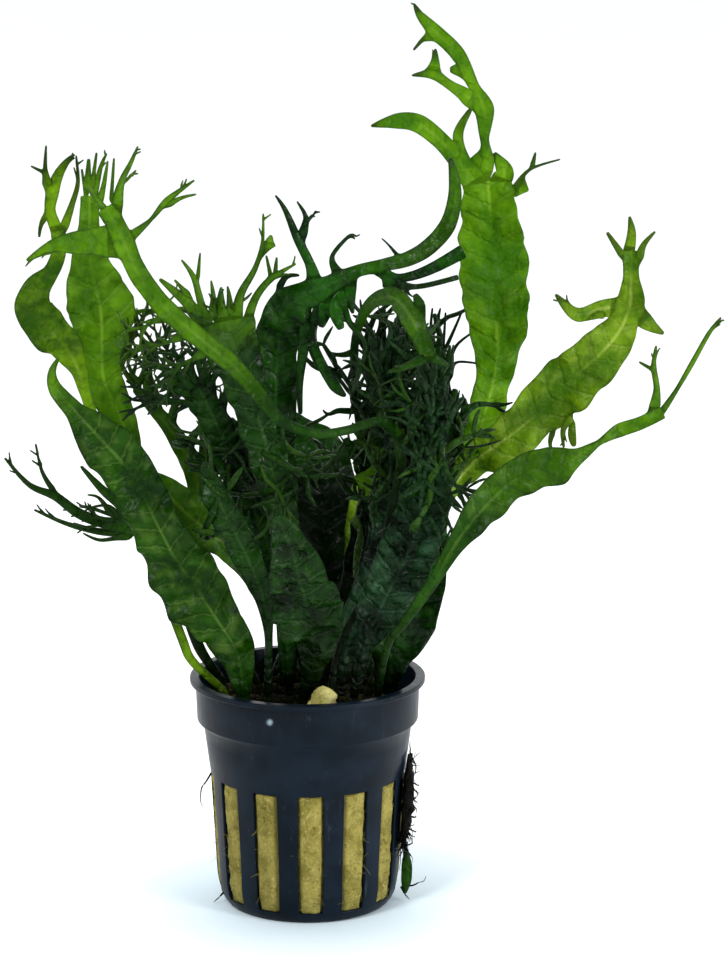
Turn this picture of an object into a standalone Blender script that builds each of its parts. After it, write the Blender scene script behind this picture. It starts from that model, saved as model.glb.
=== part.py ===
"""A windelov java fern in a slotted nursery pot, at real size, in metres with +Z up.

The origin is the centre of the pot's flat underside. Sizes below are in millimetres.
"""

import math
import random

import bmesh
import bpy
from mathutils import Vector

MM = 0.001
GAP = 0.3

# Nursery pot
POT_HEIGHT = 54.0
POT_WALL = 1.0
POT_FLOOR = 1.2
LIP_RADIUS = 27.3
LIP_HEIGHT = 1.5
COLLAR_RADIUS = 26.0
COLLAR_BOTTOM = 42.6
COLLAR_STEP = 1.4
BODY_TOP_RADIUS = 24.2
BODY_SHOULDER_RADIUS = 22.7
BODY_BOTTOM_RADIUS = 21.5
BASE_EDGE = 9.0
BASE_RADIUS = 18.4
SLOT_COUNT = 13
SLOT_TURN = math.radians(-87.4)
TUFT_TURN = math.radians(-11)
SLOT_WIDTH = 6.0
SLOT_BOTTOM_WIDTH = 5.4
SLOT_LOW = 2.6
SLOT_HIGH = 31.2

# Rockwool plug, root mat and rhizomes
WOOL_TOP = 43.6
WOOL_RIB_INSET = 0.15
MAT_LOW = 44.0
MAT_TOP = 46.4
MAT_RADIUS = 23.8
RHIZOME_RADIUS = 1.9
RHIZOME_HEIGHT = MAT_TOP + GAP + RHIZOME_RADIUS
BASE_HEIGHT = RHIZOME_HEIGHT + RHIZOME_RADIUS + GAP + 0.1

# Fronds. Their points are laid out as they are seen from one viewpoint in front of the pot: x and z where
# the line of sight meets the plane y = 0, then how far behind that plane the point lies.
VIEWPOINT = Vector((13.1, -720.0, 252.6))
STALK_WIDTH = 2.6
STALK_THICKNESS = 1.5
BLADE_THICKNESS = 0.8
TWIG_THICKNESS = 0.7
STEP = 7.5

# Each frond has its foot (x, y) on a rhizome, a midrib of points (x, z, depth, blade width), and lobes.
# A lobe has the point (x, z) where it leaves the blade, the depth that it gains, and points (x, z, width).
FRONDS = {
    "frond_tall": dict(
        rhizome="middle_back", foot=(7, 5), ruffle=0.10, fold=0.10, colour=(0.06, 0.19, 0.006),
        midrib=[(14, 66, 7, 1.8), (22, 82, 9, 2.2), (31, 97, 12, 3.5), (38, 108, 14, 6),
                (41.2, 118, 15, 9), (43, 127, 16, 9.8), (43.2, 135, 16, 12.8), (42.7, 143, 16, 16.4),
                (42.3, 152, 16, 16.4), (41.7, 160, 15, 14), (41, 168.5, 14, 11.5)],
        lobes=[((36.8, 169.2), -5, [(34.6, 173, 4.6), (30.6, 177.6, 4), (25.2, 181.8, 4.4),
                                    (20.4, 182.3, 3.7), (14.6, 181.1, 0.4)]),
               ((41.4, 169.4), -4, [(41.1, 173.4, 2.8), (40.1, 178, 2), (40, 185, 5), (37.7, 189.8, 2.6),
                                    (34, 197.2, 3.6), (28.9, 202.2, 3.5), (25.4, 206, 1.9),
                                    (24.2, 208.4, 0.4)]),
               ((38.6, 169.4), 5, [(36.4, 173, 2.2), (34.1, 179, 2.6), (37, 185, 0.9)]),
               ((37.8, 187), -1, [(35.6, 188.2, 3.4), (32.4, 190.2, 2.2), (28.4, 192.7, 2.3),
                                  (23.7, 192.4, 0.4)]),
               ((29, 193.4), 1, [(29, 195.6, 2), (29, 198.4, 0.6)]),
               ((28.6, 201.2), -1, [(26.2, 200.4, 1.1), (24.1, 198, 0.5)]),
               ((47.4, 167.6), 2, [(50.4, 171.4, 0.8), (57.2, 173.7, 0.4)])]),
    "frond_right": dict(
        rhizome="middle_front", foot=(14, -4.5), ruffle=0.10, fold=0.12, colour=(0.10, 0.25, 0.01),
        midrib=[(20, 66, -3, 1.8), (25.6, 81, -2, 2.2), (29.6, 91.4, -2, 2.8), (33.6, 98.8, -3, 4.6),
                (38.2, 104.4, -4, 7.6), (44, 108.8, -6, 10.4), (50.5, 114, -8, 12.4),
                (56.2, 119.8, -10, 12.4), (62, 125, -12, 12.4), (67.1, 129.8, -13, 11.4),
                (70.8, 134.2, -13, 8.6), (72.6, 138, -13, 6), (73.6, 142, -13, 6.6),
                (73.5, 147, -13, 3.6), (73.2, 153, -13, 3.4)],
        lobes=[((71.7, 152), 0, [(67.9, 157.2, 0.7)]),
               ((73, 153.5), 0, [(73.5, 157.2, 2), (72.9, 160.8, 0.5)]),
               ((74.8, 151), 0, [(76.2, 154.4, 1.4), (78.8, 157.4, 0.5)]),
               ((71.2, 139.4), -5, [(67.2, 140, 4), (61.4, 138.4, 3.4), (56.4, 143.1, 0.5)]),
               ((76, 137.6), 3, [(78, 136, 3), (81.2, 134, 0.6)]),
               ((60, 116.5), -1, [(58.6, 112, 1.4), (58.8, 107.6, 0.6)]),
               ((56.5, 113), 1, [(55.6, 108.6, 1), (56.4, 106.2, 0.5)])]),
    "frond_right_low": dict(
        rhizome="front", foot=(16, -12), ruffle=0.10, fold=0.10, colour=(0.05, 0.17, 0.01),
        midrib=[(18.6, 61, -19, 1.8), (22.3, 66.4, -22, 2), (26, 71.7, -24, 2.6), (29.8, 77.3, -26, 2.8),
                (33.2, 83.4, -28, 3.6), (36.6, 88.6, -29, 5.6), (40.6, 93.6, -29, 9),
                (45.8, 98.8, -29, 8), (51.4, 102.2, -28, 8.8), (57.2, 103.6, -27, 8.6),
                (62.2, 105.8, -26, 3.8), (66.8, 108.8, -25, 1.3), (71.2, 111.6, -24, 3.2),
                (76.2, 113.4, -23, 2.9), (81.2, 116, -22, 3)],
        lobes=[((80.4, 117), -2, [(79.8, 121.4, 1.5), (79, 126.6, 1.3), (79.5, 131.3, 0.5)]),
               ((78.8, 126), 1, [(75.6, 127.6, 0.5)]),
               ((81.8, 116.6), 3, [(84.4, 121.2, 1), (87.7, 127.2, 1.2), (91.5, 134.3, 1),
                                   (94.1, 137.8, 0.4)])]),
    "frond_right_dark": dict(
        rhizome="middle_front", foot=(19, -4.5), ruffle=0.08, fold=0.10, colour=(0.004, 0.03, 0.006),
        midrib=[(19.5, 58, -7, 9), (23.6, 66, -9, 12), (27, 75, -10, 9.6), (29, 86, -11, 6.4),
                (29.6, 97, -11, 6), (31.5, 108, -11, 6.4), (33, 116, -11, 4.6)],
        crest=dict(heading=85, reach=9, spread=42)),
    "frond_front_right": dict(
        rhizome="front", foot=(10.5, -13), ruffle=0.07, fold=0.08, colour=(0.01, 0.05, 0.015),
        midrib=[(13.5, 61, -17, 4), (16.5, 69, -18, 11), (20.5, 77, -20, 13), (24, 85, -21, 13),
                (26.6, 93.5, -21, 12), (28, 102, -21, 10), (29, 110, -18, 7), (28.5, 116, -16, 4)],
        crest=dict(heading=100, reach=8, spread=45)),
    "frond_front_centre": dict(
        rhizome="front", foot=(-1, -13), ruffle=0.06, fold=0.08, colour=(0.012, 0.055, 0.012),
        midrib=[(1.5, 57, -18, 6), (1.2, 64, -22, 13), (0.2, 70, -26, 16.5), (-1.5, 76, -30, 14),
                (-3, 82, -34, 11), (-5, 87.3, -37, 7), (-7.2, 91.6, -39, 2.5)]),
    "frond_front_left": dict(
        rhizome="front", foot=(-14, -13), ruffle=0.09, fold=0.16, colour=(0.03, 0.12, 0.008),
        midrib=[(-16.6, 60, -16, 9), (-20.6, 67, -18, 13), (-25.2, 74, -19, 15.4), (-29.6, 80.5, -20, 15),
                (-33.2, 87.5, -21, 12.6), (-36.6, 94.5, -21, 11), (-39.8, 101.2, -22, 10.8),
                (-44.8, 107.2, -23, 12.4), (-48.9, 111.8, -24, 9.4), (-53, 116.4, -25, 4.4),
                (-57.2, 121.4, -26, 3.2), (-57.9, 125.4, -27, 1.7), (-56.3, 128.5, -27, 0.5)]),
    "frond_left_inner": dict(
        rhizome="middle_front", foot=(-9, -4.5), ruffle=0.08, fold=0.12, colour=(0.09, 0.15, 0.015),
        midrib=[(-9, 62, -7, 1.6), (-9.6, 69, -8, 1.8), (-13.6, 77.6, -9, 3.4), (-18, 83.8, -10, 5.6),
                (-23.2, 88.4, -11, 8.4), (-27.8, 92.4, -12, 10.4), (-31.8, 96.6, -12, 8.4),
                (-35.4, 101, -12, 3)]),
    "frond_left_dark": dict(
        rhizome="front", foot=(-9, -13), ruffle=0.07, fold=0.08, colour=(0.015, 0.045, 0.018),
        midrib=[(-9, 63, -15, 1.9), (-10.3, 73, -17, 4.4), (-13.6, 81.5, -19, 6.6),
                (-17.4, 89.5, -20, 7.8), (-21, 97, -21, 6.4), (-23.5, 104.3, -21, 1)]),
    "frond_low_left": dict(
        rhizome="middle_back", foot=(-16, 5), ruffle=0.08, fold=0.10, colour=(0.03, 0.1, 0.01),
        midrib=[(-21.4, 61, 5, 3.6), (-25.4, 69, 4, 3.8), (-29.6, 77, 3, 4.4), (-33.9, 83.5, 3, 5),
                (-38.4, 89, 2, 4.4)],
        lobes=[((-39.8, 87.8), 5, [(-46, 87.8, 1.9), (-54.6, 89.6, 1.2), (-62.7, 93.1, 0.5)]),
               ((-40, 90), 1, [(-47, 90.2, 2.8), (-52.6, 92.4, 2.6), (-57.8, 96.4, 2.2),
                               (-63.6, 98.9, 1.4), (-69.2, 105.3, 0.5)]),
               ((-38.4, 91), -3, [(-42.6, 94.4, 3.2), (-46.6, 97.6, 2.2), (-51.8, 103.4, 0.7)]),
               ((-58.7, 97), -2, [(-60.6, 102, 1), (-62, 108.6, 0.5)]),
               ((-43, 91), 0, [(-48.6, 93.2, 1), (-52.4, 94.2, 0.5)])]),
    "frond_hook": dict(
        rhizome="middle_front", foot=(-19, -4.5), ruffle=0.10, fold=0.08, colour=(0.05, 0.18, 0.006),
        midrib=[(-26.6, 57, -4, 2.2), (-29, 62.5, -4, 2.2), (-34, 77, -5, 2.2), (-38.2, 88, -6, 2.4),
                (-43, 100, -7, 2.4), (-47, 110, -8, 2.4), (-50.2, 119.5, -9, 2.4),
                (-51.7, 125.4, -10, 4), (-54.6, 131, -12, 7.4), (-58.9, 135.4, -14, 9.4),
                (-61.9, 140, -15, 8.6), (-60.8, 144.6, -15, 6.2), (-57.6, 148.2, -15, 3.6),
                (-55.7, 153, -15, 3.4), (-56, 157.5, -15, 3)],
        lobes=[((-56.6, 158.5), -1, [(-57.6, 162, 2.4), (-57, 166, 3), (-55.7, 170, 2.4),
                                     (-53.6, 173.2, 1.4), (-51.8, 174.8, 0.5)]),
               ((-57.8, 167.6), -2, [(-58.5, 171.4, 1.1), (-58.2, 176.8, 0.4)]),
               ((-58.6, 170.8), -1, [(-61.8, 172.2, 0.4)]),
               ((-55.2, 158.5), 1, [(-52.6, 163.6, 1.4), (-51.2, 168.5, 1), (-51.5, 174.6, 0.4)])]),
    "frond_top_left": dict(
        rhizome="middle_back", foot=(-20, 5), ruffle=0.09, fold=0.14, colour=(0.05, 0.2, 0.006),
        midrib=[(-24.8, 60, 5, 2.6), (-29, 72, 7, 2.4), (-34, 86, 9, 2.4), (-38.4, 100, 11, 4),
                (-41.8, 113, 12, 7), (-46, 123, 13, 9), (-46.4, 130, 14, 12), (-46.4, 135.5, 14, 14.2),
                (-46.9, 141, 14, 16), (-48.2, 146, 14, 12.8), (-48.9, 152, 14, 8.2),
                (-48.8, 159, 14, 4.8), (-48.6, 165.5, 14, 4)],
        lobes=[((-49.6, 166), 1, [(-50.3, 171.5, 0.5)]),
               ((-47.6, 166), -1, [(-46, 172, 1), (-44.6, 175, 0.4)])]),
    "frond_ribbon": dict(
        rhizome="front", foot=(5, -13), ruffle=0.07, fold=0.10, colour=(0.05, 0.2, 0.006),
        midrib=[(8, 62, -12, 1.8), (13, 72, -12, 2), (17, 82, -12.5, 2), (20, 95, -13, 2.2),
                (21.6, 104, -15, 2.4), (20.6, 111, -19, 2.4), (16.5, 113.8, -25, 2.2),
                (9, 111.7, -31, 2), (2, 110.9, -34, 2.1), (-5, 113.4, -35, 2.6), (-9.5, 118.2, -36, 3.2),
                (-13.5, 123.3, -36, 3.6), (-18, 128, -36, 4.2), (-23, 132.2, -36, 4.5),
                (-27.8, 136.2, -36, 4.5), (-32.8, 140.8, -36, 4.3), (-36.2, 145.2, -36, 4.4),
                (-38.9, 149.8, -36, 4.5), (-40.8, 154.6, -36, 4.7), (-42.8, 159, -36, 4.4),
                (-45.2, 162.8, -36, 3.8)],
        lobes=[((-46.6, 163.6), -1, [(-48.8, 167.5, 0.8)]),
               ((-43.4, 162.6), 2, [(-41.5, 168.4, 1.5), (-39.2, 173, 1), (-37.6, 176.6, 0.4)]),
               ((-41.2, 169), 1, [(-38, 171.3, 0.4)]),
               ((-44.2, 164.4), -1, [(-43, 174, 0.5)]),
               ((-42, 156), -2, [(-48, 155.2, 6), (-52.5, 154.8, 5), (-57, 154.2, 3),
                                 (-63.2, 150.8, 0.5)]),
               ((-38.6, 157.4), 3, [(-35, 160, 0.9), (-31.2, 164.4, 1.6), (-25, 169, 0.4)]),
               ((-31.6, 163), 1, [(-28, 165, 0.9), (-24.6, 165.8, 0.4)])]),
    "frond_mid_left": dict(
        rhizome="middle_front", foot=(-4, -4.5), ruffle=0.08, fold=0.10, colour=(0.015, 0.08, 0.008),
        midrib=[(-4.8, 60, -8, 4), (-5, 70, -10, 5), (-5, 80, -12, 6), (-5.5, 90, -13, 7),
                (-8, 103, -15, 8.5), (-11, 114, -16, 9.5), (-14, 123.5, -17, 10.5), (-16.5, 131, -18, 12),
                (-18, 137, -19, 12.5)],
        lobes=[((-23, 137.5), -3, [(-23.8, 141, 1.8), (-25.4, 147, 1.4), (-28.2, 151, 0.4)]),
               ((-25, 146), 1, [(-23.9, 152.6, 0.4)]),
               ((-20.8, 138), -1, [(-21, 142, 1.4), (-21.5, 146.3, 0.4)]),
               ((-16.2, 138), 2, [(-14.8, 143.2, 1.9), (-11.5, 149, 1.3), (-9.8, 155, 0.8),
                                  (-9.6, 161.5, 0.4)]),
               ((-13, 137.5), -2, [(-11.4, 142.4, 1.8), (-8, 146.6, 1.6), (-2.2, 150.1, 0.4)])]),
    "frond_arch": dict(
        rhizome="middle_back", foot=(0, 5), ruffle=0.08, fold=0.10, colour=(0.006, 0.05, 0.006),
        midrib=[(-1.5, 60, 4, 3), (-3, 70, 3, 4), (-4, 80, 3, 5), (-5, 92, 2, 7), (-6.5, 105, 0, 8),
                (-7, 117, -2, 10), (-6.8, 128, -4, 9.5), (-6.2, 136, -6, 9.5), (-2.6, 141.8, -8, 9.2),
                (4.5, 145, -9, 4.6), (11, 148.2, -9, 2.8), (17, 149.7, -8, 2.8), (23.2, 151.3, -6, 3.6),
                (28.2, 154.3, -4, 4), (32, 159, -3, 3.8), (33.5, 164.8, -3, 3.2), (33.3, 170, -3, 2.4),
                (32.4, 174, -3, 0.8)],
        lobes=[((2.2, 147), -3, [(0.9, 150, 2.3), (-1.9, 155.8, 2.1), (-4.7, 162.4, 1.2),
                                 (-6.9, 165.6, 0.4)]),
               ((-1.2, 156.4), -1, [(0, 160.6, 1.2), (-2, 164.2, 0.4)]),
               ((0.6, 160.4), 1, [(2.4, 162, 0.4)]),
               ((6.6, 147.8), 2, [(5.9, 151.8, 1.1), (10, 156.6, 0.8), (11.3, 156.2, 0.4)]),
               ((16.6, 148), 3, [(20.4, 146.8, 2), (25, 147.6, 2.3), (30, 149.8, 2.8), (35.6, 153, 3.4)]),
               ((17.4, 146.4), 2, [(24.5, 144.8, 1.3), (34.5, 147, 1.3)]),
               ((-2, 137.8), 4, [(-0.8, 129.5, 2.4), (-1.6, 122.6, 1.8), (-1.4, 115.4, 1)]),
               ((2.6, 141.4), -2, [(1.5, 133.4, 1.7), (3.2, 127.6, 2.4), (6.6, 121.8, 2.8),
                                   (9, 119.6, 0.8)]),
               ((7.6, 143.4), -6, [(9.6, 137, 1.5), (13.4, 131.6, 1), (12, 125, 1.2),
                                   (10.4, 120.4, 0.5)])]),
    "frond_drooping": dict(
        rhizome="back", foot=(10.8, 14), ruffle=0.07, fold=0.10, colour=(0.02, 0.1, 0.01),
        midrib=[(11.8, 66, 12.5, 1.8), (12.8, 80, 12, 2), (13, 95, 11, 2), (12.4, 110, 10, 2.2),
                (11.2, 121, 6, 2), (10.8, 128, -1, 2), (11.4, 134, -6, 2), (13, 138.6, -12.5, 2.4),
                (16, 142, -19.5, 3.2), (20.2, 142.2, -29, 5), (24.2, 137, -36, 5),
                (27.8, 128.8, -39, 3.2)],
        lobes=[((12.6, 130), 2, [(8.6, 129.2, 1.4), (4.6, 129.5, 0.5)]),
               ((26.4, 128.4), -1, [(22.5, 126.4, 1.6), (18.5, 125.2, 0.5)]),
               ((29, 128.8), 1, [(32.5, 126.6, 0.5)])]),
    "frond_crested_right": dict(
        rhizome="middle_front", foot=(8, -4.5), ruffle=0.08, fold=0.08, colour=(0.006, 0.035, 0.01),
        midrib=[(9, 60, -4, 5), (12, 68, -4, 8), (17, 82, -5, 8.4), (20.5, 95, -6, 9), (21.8, 106, -7, 9),
                (21, 116, -7, 5.5), (19.5, 123, -6, 4)],
        crest=dict(heading=76, reach=7, spread=30)),
    "frond_crested_back": dict(
        rhizome="middle_back", foot=(13, 5), ruffle=0.08, fold=0.10, colour=(0.012, 0.06, 0.01),
        midrib=[(19, 66, 9, 1.8), (26, 84, 14, 4), (29.6, 98, 18, 7), (31.2, 110, 20, 8),
                (30.6, 119, 21, 6), (29.6, 126.5, 21, 4)],
        crest=dict(heading=82, reach=9, spread=40)),
    "frond_crested_middle": dict(
        rhizome="middle_back", foot=(3.4, 5), ruffle=0.08, fold=0.10, colour=(0.012, 0.05, 0.01),
        midrib=[(8.5, 62, 5, 4), (9.5, 68, 5, 6), (12, 80, 5, 7.4), (15.4, 94, 4, 8.4),
                (16.6, 106, 3, 9.4), (16.6, 117, 2, 8), (17, 126, 0, 4.5)],
        crest=dict(heading=80, reach=9, spread=30)),
    "frond_crested_left": dict(
        rhizome="middle_back", foot=(-12, 5), ruffle=0.08, fold=0.08, colour=(0.015, 0.05, 0.012),
        midrib=[(-16.5, 61, 6, 1.8), (-20.5, 70, 8, 2.2), (-24.5, 82, 10, 3), (-25, 93, 11, 5),
                (-25.2, 101, 11, 5.4), (-28, 107, 12, 4.8), (-31.4, 112.5, 12, 3.8), (-35, 117, 12, 3.2),
                (-39, 121.5, 12, 2)],
        lobes=[((-30.5, 114), -4, [(-30, 120, 1.6), (-32.5, 126, 1.2), (-31, 132.5, 0.5)]),
               ((-36.5, 119.5), 4, [(-36.8, 126, 1.4), (-34.8, 131, 1), (-37.6, 136, 0.5)]),
               ((-31, 121), -1, [(-28.4, 125, 1.6), (-25.5, 127.4, 0.5)]),
               ((-39.2, 122), -2, [(-42, 127, 1), (-41, 132, 0.5)])]),
    "frond_crested_centre": dict(
        rhizome="middle_back", foot=(-6, 5), ruffle=0.08, fold=0.08, colour=(0.01, 0.05, 0.01),
        midrib=[(-6, 63, 7, 2), (-7, 76, 7, 3), (-10, 88, 6, 6), (-14, 98, 5, 8.5), (-18, 107, 4, 8.5),
                (-21.5, 115, 3, 7), (-24.4, 121.5, 2, 4)],
        crest=dict(heading=118, reach=8, spread=48)),
    "frond_back_light": dict(
        rhizome="back", foot=(8, 14), ruffle=0.08, fold=0.10, colour=(0.10, 0.21, 0.01),
        midrib=[(9, 66, 16, 2), (10.5, 76, 17, 4), (12, 88, 18, 7), (14, 98, 19, 8), (17.5, 106, 20, 7),
                (21, 112, 21, 4), (24, 117, 22, 2)]),
    "frond_back_centre": dict(
        rhizome="back", foot=(3, 14), ruffle=0.08, fold=0.10, colour=(0.008, 0.05, 0.006),
        midrib=[(3.4, 66, 18, 4), (5, 76, 21, 10), (4.4, 88, 25, 14.5), (4.4, 99, 29, 15),
                (2.4, 107, 33, 13), (-4, 113.4, 36, 7), (-9, 119, 38, 2)]),
    "frond_back_left": dict(
        rhizome="back", foot=(-8, 14), ruffle=0.08, fold=0.10, colour=(0.02, 0.08, 0.01),
        midrib=[(-4.5, 64, 20, 2), (-4, 78, 26, 6), (-6, 90, 33, 8), (-10, 100, 39, 7), (-14, 108, 44, 5),
                (-18, 114, 48, 3)]),
    "frond_back_right": dict(
        rhizome="back", foot=(13, 13), ruffle=0.08, fold=0.10, colour=(0.02, 0.09, 0.01),
        midrib=[(16, 64, 20, 2), (20, 76, 26, 6), (25, 88, 33, 8), (28.5, 99, 39, 7), (30.5, 108, 44, 5)],
        crest=dict(heading=84, reach=8, spread=36)),
    "frond_back_low": dict(
        rhizome="back", foot=(-2, 14), ruffle=0.09, fold=0.10, colour=(0.03, 0.11, 0.01),
        midrib=[(-1, 63, 25, 2), (1, 72, 34, 6), (3, 81, 43, 9), (5, 88, 52, 8), (7, 93, 61, 5),
                (8, 96, 68, 1.6)]),
}
RHIZOMES = ("front", "middle_front", "middle_back", "back")


def clear_scene():
    """Remove the objects of the opened file."""
    for thing in list(bpy.data.objects):
        bpy.data.objects.remove(thing, do_unlink=True)


def material(name, colour, roughness):
    """A plain coloured material."""
    made = bpy.data.materials.new(name)
    made.use_nodes = True
    shader = made.node_tree.nodes["Principled BSDF"]
    shader.inputs["Base Color"].default_value = (*colour, 1.0)
    shader.inputs["Roughness"].default_value = roughness
    shader.inputs["Metallic"].default_value = 0.0
    return made


def add_object(name, mesh, finish):
    """A scene object of this mesh, with its material."""
    made = bpy.data.objects.new(name, mesh)
    made.data.materials.append(finish)
    bpy.context.scene.collection.objects.link(made)
    return made


def mesh_from_faces(name, points, faces):
    """A mesh of these points, in millimetres, with its faces turned outwards."""
    built = bmesh.new()
    corners = [built.verts.new(Vector(point) * MM) for point in points]
    for face in faces:
        built.faces.new([corners[index] for index in face])
    bmesh.ops.recalc_face_normals(built, faces=built.faces)
    mesh = bpy.data.meshes.new(name)
    built.to_mesh(mesh)
    built.free()
    return mesh


def smooth_by_angle(thing, degrees):
    """Smooth shading, with edges sharper than this angle kept sharp."""
    thing.data.shade_smooth()
    thing.data.set_sharp_from_angle(angle=math.radians(degrees))


def body_radius(z):
    """The pot's outer radius below the collar: rounded in at the base, and wider above the slots."""
    if z > SLOT_HIGH:
        rise = (z - SLOT_HIGH) / (COLLAR_BOTTOM - SLOT_HIGH)
        return BODY_SHOULDER_RADIUS + (BODY_TOP_RADIUS - BODY_SHOULDER_RADIUS) * min(1, rise)
    if z < BASE_EDGE:
        return BASE_RADIUS + (BODY_BOTTOM_RADIUS - BASE_RADIUS) * math.sqrt(1 - (1 - z / BASE_EDGE) ** 2)
    rise = (z - BASE_EDGE) / (SLOT_HIGH - BASE_EDGE)
    return BODY_BOTTOM_RADIUS + (BODY_SHOULDER_RADIUS - BODY_BOTTOM_RADIUS) * rise


def slot_half_angle(z, radius):
    """Half the angle that a slot's width spans at this height."""
    rise = min(1, max(0, (z - SLOT_LOW) / (SLOT_HIGH - SLOT_LOW)))
    width = SLOT_BOTTOM_WIDTH + (SLOT_WIDTH - SLOT_BOTTOM_WIDTH) * min(1, 3 * rise)
    return math.asin(width / 2 / radius)


def pot_profiles():
    """The pot's wall as rows of (outer radius, outer z, inner radius, inner z), from the base up."""
    rows = [(BASE_RADIUS, 0, BASE_RADIUS - POT_WALL, POT_FLOOR)]
    for z in (0.5, 1.3, SLOT_LOW, 5, BASE_EDGE, SLOT_HIGH, COLLAR_BOTTOM):
        rows.append((body_radius(z), z, body_radius(z) - POT_WALL, max(z, POT_FLOOR + 0.2 * z)))
    inner_step = COLLAR_RADIUS - POT_WALL
    rows.append((COLLAR_RADIUS - 0.3, COLLAR_BOTTOM + COLLAR_STEP, inner_step - 0.3, COLLAR_BOTTOM + 2))
    rows.append((COLLAR_RADIUS, POT_HEIGHT - LIP_HEIGHT, inner_step, POT_HEIGHT - LIP_HEIGHT))
    rows.append((LIP_RADIUS, POT_HEIGHT - 0.8 * LIP_HEIGHT, inner_step, POT_HEIGHT - 0.8 * LIP_HEIGHT))
    rows.append((LIP_RADIUS, POT_HEIGHT, inner_step + 0.1, POT_HEIGHT))
    return rows


def build_pot():
    """The pot: two turned walls, with slots left open between their ribs."""
    rows = pot_profiles()
    low, high = 3, 6
    columns = [(slot, part) for slot in range(SLOT_COUNT) for part in (-1, 0, 1, 2)]
    points = [(0, 0, 0), (0, 0, POT_FLOOR)]
    places = {}

    def angle_of(column, z, radius):
        slot, part = column
        half_slot = slot_half_angle(z, radius)
        half_pitch = math.pi / SLOT_COUNT
        offset = {-1: -half_slot, 0: 0, 1: half_slot, 2: half_pitch}[part]
        return SLOT_TURN + slot * 2 * half_pitch + offset

    for column_index, column in enumerate(columns):
        for row_index, (outer, outer_z, inner, inner_z) in enumerate(rows):
            for wall, radius, z in ((0, outer, outer_z), (1, inner, inner_z)):
                angle = angle_of(column, outer_z, outer)
                places[column_index, row_index, wall] = len(points)
                points.append((radius * math.cos(angle), radius * math.sin(angle), z))
    faces = []
    count = len(columns)
    top = len(rows) - 1
    for index, (_, part) in enumerate(columns):
        after = (index + 1) % count
        faces.append((0, places[index, 0, 0], places[after, 0, 0]))
        faces.append((1, places[index, 0, 1], places[after, 0, 1]))
        faces.append((places[index, top, 0], places[after, top, 0], places[after, top, 1],
                      places[index, top, 1]))
        in_slot = part in (-1, 0)
        for row in range(top):
            if in_slot and low <= row < high:
                continue
            for wall in (0, 1):
                faces.append((places[index, row, wall], places[after, row, wall],
                              places[after, row + 1, wall], places[index, row + 1, wall]))
        if in_slot:
            for row in (low, high):
                faces.append((places[index, row, 0], places[after, row, 0], places[after, row, 1],
                              places[index, row, 1]))
        if part in (-1, 1):
            for row in range(low, high):
                faces.append((places[index, row, 0], places[index, row + 1, 0],
                              places[index, row + 1, 1], places[index, row, 1]))
    finish = material("pot_plastic", (0.012, 0.02, 0.03), 0.35)
    pot = add_object("pot", mesh_from_faces("pot", points, faces), finish)
    smooth_by_angle(pot, 35)


def turned_lump(name, rings, finish):
    """A closed solid of stacked rings, each a list of points, with a flat cap at each end."""
    size = len(rings[0])
    points = [point for ring in rings for point in ring]
    faces = [tuple(range(size)), tuple(range(len(points) - size, len(points)))]
    for level in range(len(rings) - 1):
        for index in range(size):
            after = (index + 1) % size
            start = level * size
            faces.append((start + index, start + after, start + size + after, start + size + index))
    made = add_object(name, mesh_from_faces(name, points, faces), finish)
    smooth_by_angle(made, 50)
    return made


def build_rockwool():
    """The plug: it fills the pot and is pressed a little way into the slots."""
    half_pitch = math.pi / SLOT_COUNT
    rib_top = SLOT_HIGH - 0.5
    rib_low = SLOT_LOW + 0.9
    levels = [(POT_FLOOR + GAP, 0), (rib_low - 0.3, 0), (rib_low, 1), (BASE_EDGE, 1), (rib_top, 1),
              (rib_top + 0.2, 0), (WOOL_TOP - 1, 0), (WOOL_TOP, 0)]
    rings = []
    for z, pressed in levels:
        outer = body_radius(z)
        wall = outer - POT_WALL - GAP - (1.6 if z < SLOT_LOW else 0.1) - (1.0 if z == WOOL_TOP else 0)
        rib = outer - WOOL_RIB_INSET if pressed else wall
        half_rib = slot_half_angle(z, outer) - 0.45 / outer
        ring = []
        for slot in range(SLOT_COUNT):
            middle = SLOT_TURN + slot * 2 * half_pitch
            for offset, radius in ((-half_rib, wall), (-half_rib + 0.004, rib), (half_rib - 0.004, rib),
                                   (half_rib, wall)):
                angle = middle + offset
                ring.append((radius * math.cos(angle), radius * math.sin(angle), z))
        rings.append(ring)
    turned_lump("rockwool", rings, material("rockwool", (0.40, 0.32, 0.09), 0.95))


def wavy_ring(radius, z, sides, wave, seed):
    """A ring whose radius wanders by up to this wave."""
    draws = random.Random(seed)
    ring = []
    for index in range(sides):
        angle = 2 * math.pi * index / sides
        reach = radius - wave * draws.random()
        ring.append((reach * math.cos(angle), reach * math.sin(angle), z))
    return ring


def build_root_mat():
    """The felt of dark roots that covers the rockwool under the rhizomes."""
    rings = [wavy_ring(MAT_RADIUS - 0.8, MAT_LOW, 28, 0.6, 1), wavy_ring(MAT_RADIUS, 45.2, 28, 0.8, 2),
             wavy_ring(MAT_RADIUS - 1.2, MAT_TOP, 28, 0.8, 3)]
    turned_lump("root_mat", rings, material("root_mat", (0.012, 0.009, 0.006), 0.9))


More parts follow.
